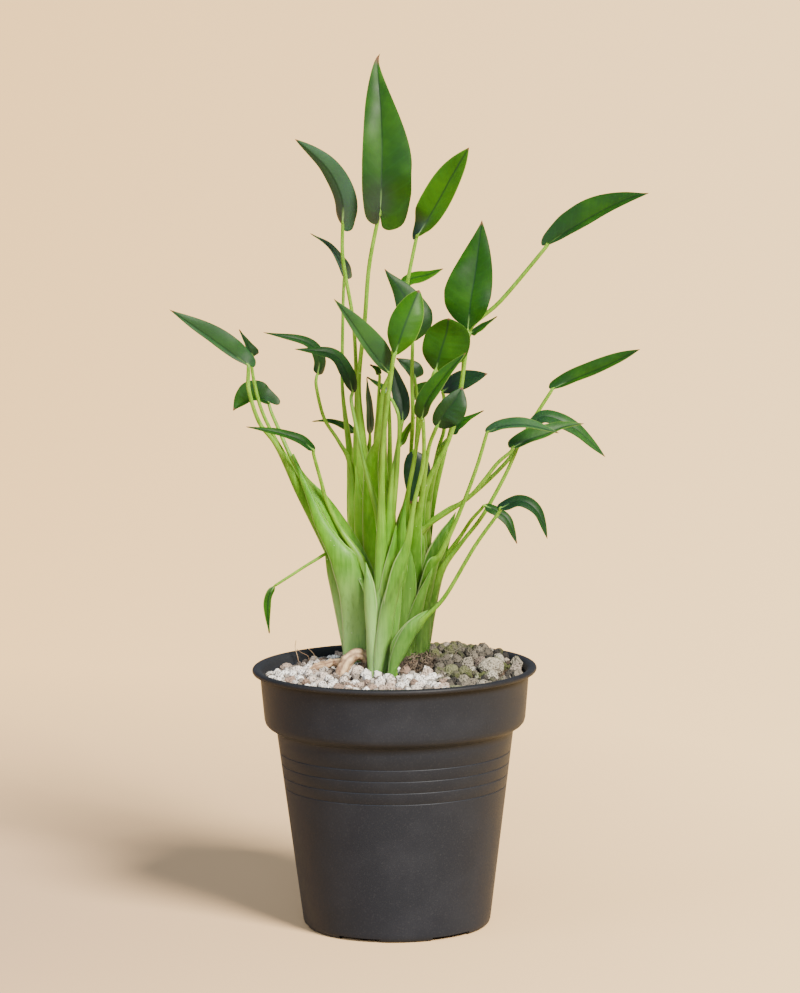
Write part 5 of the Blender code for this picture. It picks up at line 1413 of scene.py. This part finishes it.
# %% Where the stalks run
CROWN_FOOT = 98.0
CROWNS = {
    "left": [(-16, 24, CROWN_FOOT, 11.6), (-16, 24, 112, 12.0), (-17, 24, 124, 12.2), (-19, 24, 137, 11),
             (-22, 23, 148, 7), (-24, 23, 154, 2)],
    "rear": [(-9, 39, CROWN_FOOT, 13), (-9, 39, 112, 13.6), (-9, 38, 130, 13.6), (-8.5, 37, 150, 12),
             (-8.5, 36, 164, 8), (-8.5, 36, 172, 2)],
    "front": [(-8, 6, CROWN_FOOT, 5.6), (-8, 6, 108, 6.6), (-7.5, 6, 118, 8.6), (-6.5, 5, 130, 9.6),
              (-5.5, 5, 144, 6), (-5, 5, 150, 2)],
    "small": [(-1.5, -1, CROWN_FOOT, 3.2), (-1, -2, 108, 3.4), (0, -3, 115, 4.2), (2, -3, 121, 3.4),
              (4, -4, 124, 1.5)],
    "right": [(7.5, 24, CROWN_FOOT, 12.4), (7.5, 24, 112, 12.8), (8, 24, 126, 12.6), (9, 23, 142, 10),
              (10, 22, 156, 6), (10.5, 22, 163, 2)],
}
BLADE_RUN_IN = 0.09
UNDER_BLADE = 0.55
NECK_WIDTH = 0.85        # share of the stalk's width that is left at the blade's foot
STALK_END = 0.5
STALK_FOOT = 104.0
FOOT_WIDTH = 0.8
FOOT_OUT = 0.45          # share of the way out from the shoot's axis at which a stalk starts
TURN_REACH = 8.0         # a sheath this far to the side of its shoot is turned all the way
TURN_MOST = 0.55
BEHIND = 2.5


def stalk_points(spec, crown):
    """A stalk's course, from inside the crown to a little way under the midrib of its blade."""
    axis = np.array(crown[2][:2])
    first, last = spec["stalk"][0], spec["stalk"][-1]
    inside = axis + (np.array(first[:2]) - axis) * FOOT_OUT
    start = (*inside, STALK_FOOT, first[3] * FOOT_WIDTH)
    rib = Rib(spec)
    foot, further = rib.at(0.0)[0], rib.at(BLADE_RUN_IN)[0]
    under = AWAY * UNDER_BLADE
    neck = (*(foot + under / 2), last[3] * NECK_WIDTH)
    return curve_in_steps([start, *spec["stalk"], neck, (*(further + under), STALK_END)], RINGS_A_SPAN)


def sheath_facing(points, crown):
    """The outer side of a sheath looks toward the viewer, or away for one behind its shoot's middle."""
    middle = points[len(points) // 4]
    axis = crown[len(crown) // 2]
    side = min(max((middle[0] - axis[0]) / TURN_REACH, -1.0), 1.0) * TURN_MOST
    front = 1.0 if middle[1] > axis[1] + BEHIND else -1.0
    return unit((side, front, 0.0))


# %% [markdown]
# ### Free sheaths
# Some sheaths end in a free tip that stands off from the stalk inside. They are pointed troughs of the
# same section, and they cover the places where stalks leave their shoot.

# %% Free sheaths
# (shoot, facing as (side, front), depth of the trough, course of (x, depth, height, width))
FREE_SHEATHS = [
    ("left", (-0.7, -1.0), 1.0,
     [(-18.4, 23, 106, 6), (-19.2, 23, 113, 6.4), (-21.2, 22, 124, 6.4), (-24, 21, 138, 5.8),
      (-26.8, 20, 150, 4.4), (-29.6, 19, 164, 0.6)]),
    ("left", (0.1, -1.0), 0.8,
     [(-17, 20, 104, 10), (-16.6, 19, 113, 10.4), (-16.2, 17, 124.8, 11.6), (-16.1, 15, 134, 13.2),
      (-17.2, 13.4, 142.2, 13.2), (-20.5, 12.2, 152.4, 12), (-24.4, 11.8, 159, 8.4),
      (-30, 12, 168.6, 5.6), (-34.6, 13, 180, 4), (-39.6, 14, 192.4, 2.8), (-42, 14.5, 199, 1.2)]),
    ("front", (-0.5, -1.0), 1.25,
     [(-8.6, 3.5, 103, 4.6), (-8.6, 3, 114, 5.2), (-8.8, 2.5, 124, 6), (-9.6, 2.5, 136, 6),
      (-10.4, 3, 146, 4.6), (-11.6, 3.5, 154, 0.5)]),
    ("front", (0.3, -1.0), 1.25,
     [(-7.2, 3, 103, 4.4), (-6.2, 1.5, 113, 5.6), (-4.6, 0.5, 122, 6.6), (-2.6, 0, 134, 6.8),
      (0, -0.5, 144, 5.8), (3, -1.2, 153.5, 3.6), (5.6, -2, 162.5, 0.4)]),
    ("front", (0.1, -1.0), 1.0,
     [(-4, 6, 106, 5), (-2.4, 4.6, 118, 6), (-0.6, 4, 130, 6.4), (1, 3.6, 142, 5), (2.4, 3.2, 152, 3),
      (3.6, 3, 160, 0.4)]),
    ("small", (0.3, -1.0), 1.25,
     [(-1.8, -2.5, 103, 3.8), (-0.4, -4, 111, 4.6), (2.8, -5, 119, 6.4), (6.6, -6, 126.4, 6.4),
      (10.6, -7, 131.8, 3.8), (14.2, -7.5, 135, 0.5)]),
    ("right", (0.4, -1.0), 1.0,
     [(4.6, 17.5, 103, 7), (5.4, 14, 117, 7), (8, 11, 127, 6.4), (11.4, 9, 138, 4.6),
      (14.6, 7.5, 146, 2.6), (16.7, 6.6, 151.4, 0.4)]),
    ("right", (0.5, -1.0), 1.0,
     [(10.4, 20, 103, 8.4), (11.4, 18, 122, 9), (13.8, 17, 139.9, 10.4), (17.8, 16, 154, 9.6),
      (22, 15, 164, 6), (26.6, 14, 173.6, 0.4)]),
    ("right", (0.1, -1.0), 0.8,
     [(2.6, 16, 103, 8), (3, 13, 116, 9), (4.6, 11, 130, 9), (6.4, 10, 146, 6.4), (7.4, 9.6, 160, 0.6)]),
    ("right", (0.0, -1.0), 1.0,
     [(4.5, 15, 126, 6), (3.2, 11, 140, 6.4), (2.8, 8.5, 152, 6.4), (3.2, 7, 163, 5.4),
      (4.2, 6, 172, 3), (5.6, 5.5, 181, 0.4)]),
    ("rear", (-0.2, -1.0), 0.9,
     [(-10, 32, 112, 12), (-10.5, 31, 128, 12.4), (-11.5, 30, 146, 10.5), (-13, 29, 164, 7.5),
      (-14.6, 28, 180, 4), (-15.6, 28, 192, 0.5)]),
    ("rear", (0.3, -1.0), 0.9,
     [(-6, 32, 120, 9), (-5, 30, 138, 9), (-4, 28, 156, 7.6), (-3, 26, 172, 4.6), (-2, 25, 186, 0.5)]),
    ("front", (0.5, -1.0), 0.9,
     [(-6, 6, 122, 5), (-4.4, 4, 134, 6.4), (-2.2, 3, 148, 6.2), (0, 2, 160, 4), (1.4, 1.5, 170, 0.4)]),
]
SHEATH_RINGS_A_SPAN = 7

# %% [markdown]
# ### The stalks' finish
# Stalks are pale yellow-green. The sheaths are fresh green higher up and duller near the soil, with faint
# stripes along them, thin whitish margins and a few white specks of dried sap. The low foot of the left
# shoot, which the front shoot shades, is painted paler: painted light. The sheaths far back are painted
# brighter, a painted glow of light shining through them, and those right of the middle that stand behind
# the front ones are painted darker: painted shade. Light glows in them a little, as it does in anything
# juicy.

# %% Stalk finish
ROUND_TONES = (rgb(74, 116, 18), rgb(102, 142, 34))
LOW_TONES = (rgb(66, 108, 38), rgb(92, 130, 56))
HIGH_TONES = (rgb(52, 105, 2), rgb(78, 132, 8))
# a painted glow for the sheaths far back, as if light shone through them
REAR_PAINTED_GLOW_TONES = (rgb(118, 180, 30), rgb(150, 208, 60))
SHADY_TONES = (rgb(48, 72, 26), rgb(44, 90, 4))            # low and high
# a paler green painted as light on the left shoot's foot, which the front shoot shades
PAINTED_LIGHT_GREEN = rgb(140, 178, 104)
STREAK_TONES = (rgb(122, 164, 70), rgb(40, 84, 20))
MARGIN_GREEN = rgb(176, 204, 128)
SAP_WHITE = rgb(226, 232, 208)
STREAK_SCALE = (900.0, 900.0, 60.0)
SAP_SCALE = 190.0
# Where one tone gives way to another, in metres.
HIGHER = (0.116, 0.168)
REAR_PAINTED_GLOW_BACK = (0.022, 0.03)
PAINTED_LIGHT_ACROSS = (-0.010, -0.002)
PAINTED_LIGHT_HEIGHTS = (0.122, 0.152)
SHADY_ACROSS = (-0.006, 0.006)
SHADY_BACK = (0.003, 0.012)
stalk_finish, tree, shader, place = start_material("juicy stalk")
across, back, height = split(tree, place)
cloudy = map_range(tree, mottle(tree, place, 90.0, 3.0, 0.6), 0.3, 0.7)
higher = map_range(tree, height, *HIGHER)
round_green, low_green, high_green, rear_glow_green = [
    blend(tree, cloudy, *tones) for tones in (ROUND_TONES, LOW_TONES, HIGH_TONES, REAR_PAINTED_GLOW_TONES)]
green = blend(tree, higher, low_green, high_green)
# painted glow: the sheaths far back are painted brighter, as light shining through them
green = blend(tree, map_range(tree, back, *REAR_PAINTED_GLOW_BACK), green, rear_glow_green)
# painted light on the low foot of the left shoot
painted_light_share = math_node(tree, "MULTIPLY", map_range(tree, across, *PAINTED_LIGHT_ACROSS, 0.85, 0.0),
                     map_range(tree, height, *PAINTED_LIGHT_HEIGHTS, 1.0, 0.0))
green = blend(tree, painted_light_share, green, PAINTED_LIGHT_GREEN)
# painted shade on the sheaths right of the middle, behind the front ones
shady = math_node(tree, "MULTIPLY", map_range(tree, across, *SHADY_ACROSS),
                  map_range(tree, back, *SHADY_BACK))
green = blend(tree, shady, green, blend(tree, higher, *SHADY_TONES))
green = blend(tree, attribute(tree, "opened"), round_green, green)
streaks = add_node(tree, "ShaderNodeMapping", {"Vector": place, "Scale": STREAK_SCALE}).outputs[0]
streak = mottle(tree, streaks, 1.0, 3.0, 0.6)
green = blend(tree, map_range(tree, streak, 0.5, 0.75, 0.0, 0.25), green, STREAK_TONES[0])
green = blend(tree, map_range(tree, streak, 0.5, 0.3, 0.0, 0.35), green, STREAK_TONES[1])
green = blend(tree, map_range(tree, attribute(tree, "margin"), 0.3, 0.9, 0.0, 0.42), green, MARGIN_GREEN)
cells = add_node(tree, "ShaderNodeTexVoronoi", {"Vector": place, "Scale": SAP_SCALE}).outputs["Distance"]
green = blend(tree, map_range(tree, cells, 0.03, 0.06, 0.35, 0.0), green, SAP_WHITE)
join_inputs(tree, shader, {"Base Color": green, "Roughness": 0.42, "Specular IOR Level": 0.2,
                           "Subsurface Weight": 0.5, "Subsurface Radius": (0.75, 1.0, 0.3),
                           "Subsurface Scale": 0.002})
raise_surface(tree, shader, streak, 0.15, 0.3)

# %% Grow the shoots
CROWN_DEPTH = 0.92
CROWN_SIDES = 28
CROWN_RIBS = 5
CROWN_RIB = 0.03
CROWN_FACING = (0.0, -1.0, 0.001)
STALK_CREASE = 70.0


def make_shoot(name):
    bm = bmesh.new()
    crown = CROWNS[name]
    core = curve_in_steps(crown, RINGS_A_SPAN)
    rings = []
    for point, along in zip(core, directions(core)):
        across, outward = section_axes(along, CROWN_FACING)
        ring = []
        for angle in angles_round(CROWN_SIDES):
            reach = point[3] / 2 * (1 + CROWN_RIB * math.sin(CROWN_RIBS * angle))
            ring.append(bm.verts.new(point[:3] + across * reach * math.cos(angle)
                                     + outward * reach * CROWN_DEPTH * math.sin(angle)))
        rings.append(ring)
    loft(bm, rings)
    facts = [(0.0, 1.0)] * (len(core) * CROWN_SIDES)
    for spec in LEAVES.values():
        if spec["shoot"] == name:
            points = stalk_points(spec, crown)
            add_stalk(bm, facts, points, sheath_facing(points, crown))
    for shoot, (side, front), deeper, course in FREE_SHEATHS:
        if shoot == name:
            points = curve_in_steps(course, SHEATH_RINGS_A_SPAN)
            add_stalk(bm, facts, points, unit((side, front, 0.0)), always_open=True, deeper=deeper)
    piece = finish_piece("stalks_" + name, bm, stalk_finish, sharp=STALK_CREASE)
    for index, title in enumerate(("margin", "opened")):
        store(piece.data, title, [fact[index] for fact in facts])
    return piece


for name in CROWNS:
    settle(make_shoot(name), "stalk", "shoot_" + name)

# %% [markdown]
# ## The old root
# A woody root arches out of the gravel left of the front shoot. It is about 5 mm thick and ridged along
# its length. A thinner one lies on its left, and three hair roots stand up near the pot's left edge.
# Each is a lofted tube whose section is dented by noise, with pale and brown bark.

# %% Old root
OLD_ROOT = [(-22.5, 1, 104, 5.2), (-22, 2.4, 108, 5.6), (-19.8, 5, 112, 5.6), (-16.4, 7.5, 114, 5.2),
            (-13, 9.4, 113.2, 5.0), (-11, 10.5, 110, 5.2), (-10.5, 11, 105, 5.4)]
PINK_ROOT = [(-36, 10, 104.5, 3.0), (-34, 12.5, 107.2, 3.6), (-28.5, 17, 108.4, 3.8), (-24, 20.5, 108.8, 3.4),
             (-21, 22.5, 107.0, 3.0)]
HAIR_ROOTS = (
    [(-41.2, 32, 106, 0.36), (-41.6, 32, 109, 0.36), (-42.6, 32, 113, 0.3), (-42.2, 32, 116.4, 0.2)],
    [(-42, 31, 112.8, 0.2), (-40, 32, 111, 0.3), (-37.2, 33, 109.2, 0.3), (-36.5, 33, 106, 0.36)],
    [(-37.4, 33, 112.6, 0.2), (-35.8, 33.5, 111.3, 0.3), (-34.2, 34, 109, 0.3), (-33.8, 34, 106, 0.36)])
ROOT_SIDES = 30
HAIR_SIDES = 6
ROOT_FACING = (0.1, -1.0, 0.2)
RIDGES = 5
RIDGE = 0.07
RIDGE_TWIST = 0.12
DENTS_ALONG = 0.55
DENTS_ROUND = 0.9
BARK_TONES = (rgb(96, 68, 48), rgb(184, 156, 118))
FURROW_BROWN = rgb(84, 58, 42)
root_finish, tree, shader, place = start_material("old root bark")
bark = mottle(tree, place, 260.0, 4.0, 0.65)
furrow = map_range(tree, attribute(tree, "furrow"), 0.2, 0.9, 0.0, 0.7)
colour = blend(tree, furrow, blend(tree, map_range(tree, bark, 0.35, 0.65), *BARK_TONES), FURROW_BROWN)
join_inputs(tree, shader, {"Base Color": colour, "Roughness": 0.78})
raise_surface(tree, shader, bark, 0.7, 0.7)


def lumpy_tube(name, course, sides, finish, dents, steps=8):
    """A closed tube through points of (x, depth, height, width), dented by noise and ridged lengthwise."""
    bm = bmesh.new()
    points = curve_in_steps(course, steps)
    rings = []
    furrows = []
    for index, (point, along) in enumerate(zip(points, directions(points))):
        across, outward = section_axes(along, ROOT_FACING)
        ring = []
        for angle in angles_round(sides):
            way = across * math.cos(angle) + outward * math.sin(angle)
            dent = noise.noise(Vector(point[:3]) * DENTS_ALONG + Vector(way) * DENTS_ROUND)
            ridge = math.sin(RIDGES * angle + RIDGE_TWIST * index)
            ring.append(bm.verts.new(point[:3] + way * point[3] / 2 * (1 + dents * dent + RIDGE * ridge)))
            furrows.append(max(-ridge, 0.0))
        rings.append(ring)
    loft(bm, rings)
    tube = finish_piece(name, bm, finish)
    store(tube.data, "furrow", furrows)
    return tube


settle(lumpy_tube("arched_root", OLD_ROOT, ROOT_SIDES, root_finish, dents=0.22), "old_root", "old_root")
settle(lumpy_tube("pink_root", PINK_ROOT, ROOT_SIDES, root_finish, dents=0.5), "old_root")
for course in HAIR_ROOTS:
    settle(lumpy_tube("hair_root", course, HAIR_SIDES, root_finish, dents=0.2), "old_root")

# %% [markdown]
# ### Coir
# Between the front shoots the old root ball shows, with brown coir fibres that stand in all directions,
# and a few hang under the old root. Each fibre is a bent thread of a few faces. They are scattered like
# the grains, on two small tufts that the gravel leaves free.

# %% Coir
FIBRE = [(-0.5, 0.0, 0.0, 0.06), (-0.2, 0.14, 0.08, 0.1), (0.2, -0.06, 0.12, 0.09), (0.5, 0.12, 0.0, 0.05)]
FIBRE_BENDS = (1.0, -1.6, 2.4)
FIBRE_SIDES = 3
COIR_DROP = 0.4
COIR_TONES = (rgb(22, 18, 14), rgb(88, 74, 58))
coir_finish, tree, shader, place = start_material("coir")
strand = blend(tree, attribute(tree, "tone"), *COIR_TONES)
join_inputs(tree, shader, {"Base Color": strand, "Roughness": 0.85})
fibres = []
for bend in FIBRE_BENDS:
    course = [(x, y * bend, z * bend, width) for x, y, z, width in FIBRE]
    fibres.append(lumpy_tube("fibre", course, FIBRE_SIDES, coir_finish, dents=0.0, steps=1))
coir = scatter(bed("coir", COIR_DROP, is_coir), shape_box("fibres", fibres), coir_finish,
               spacing=0.85, smallest=2.6, largest=5.6, seed=12, lean=2.4)
settle(coir, "old_root")
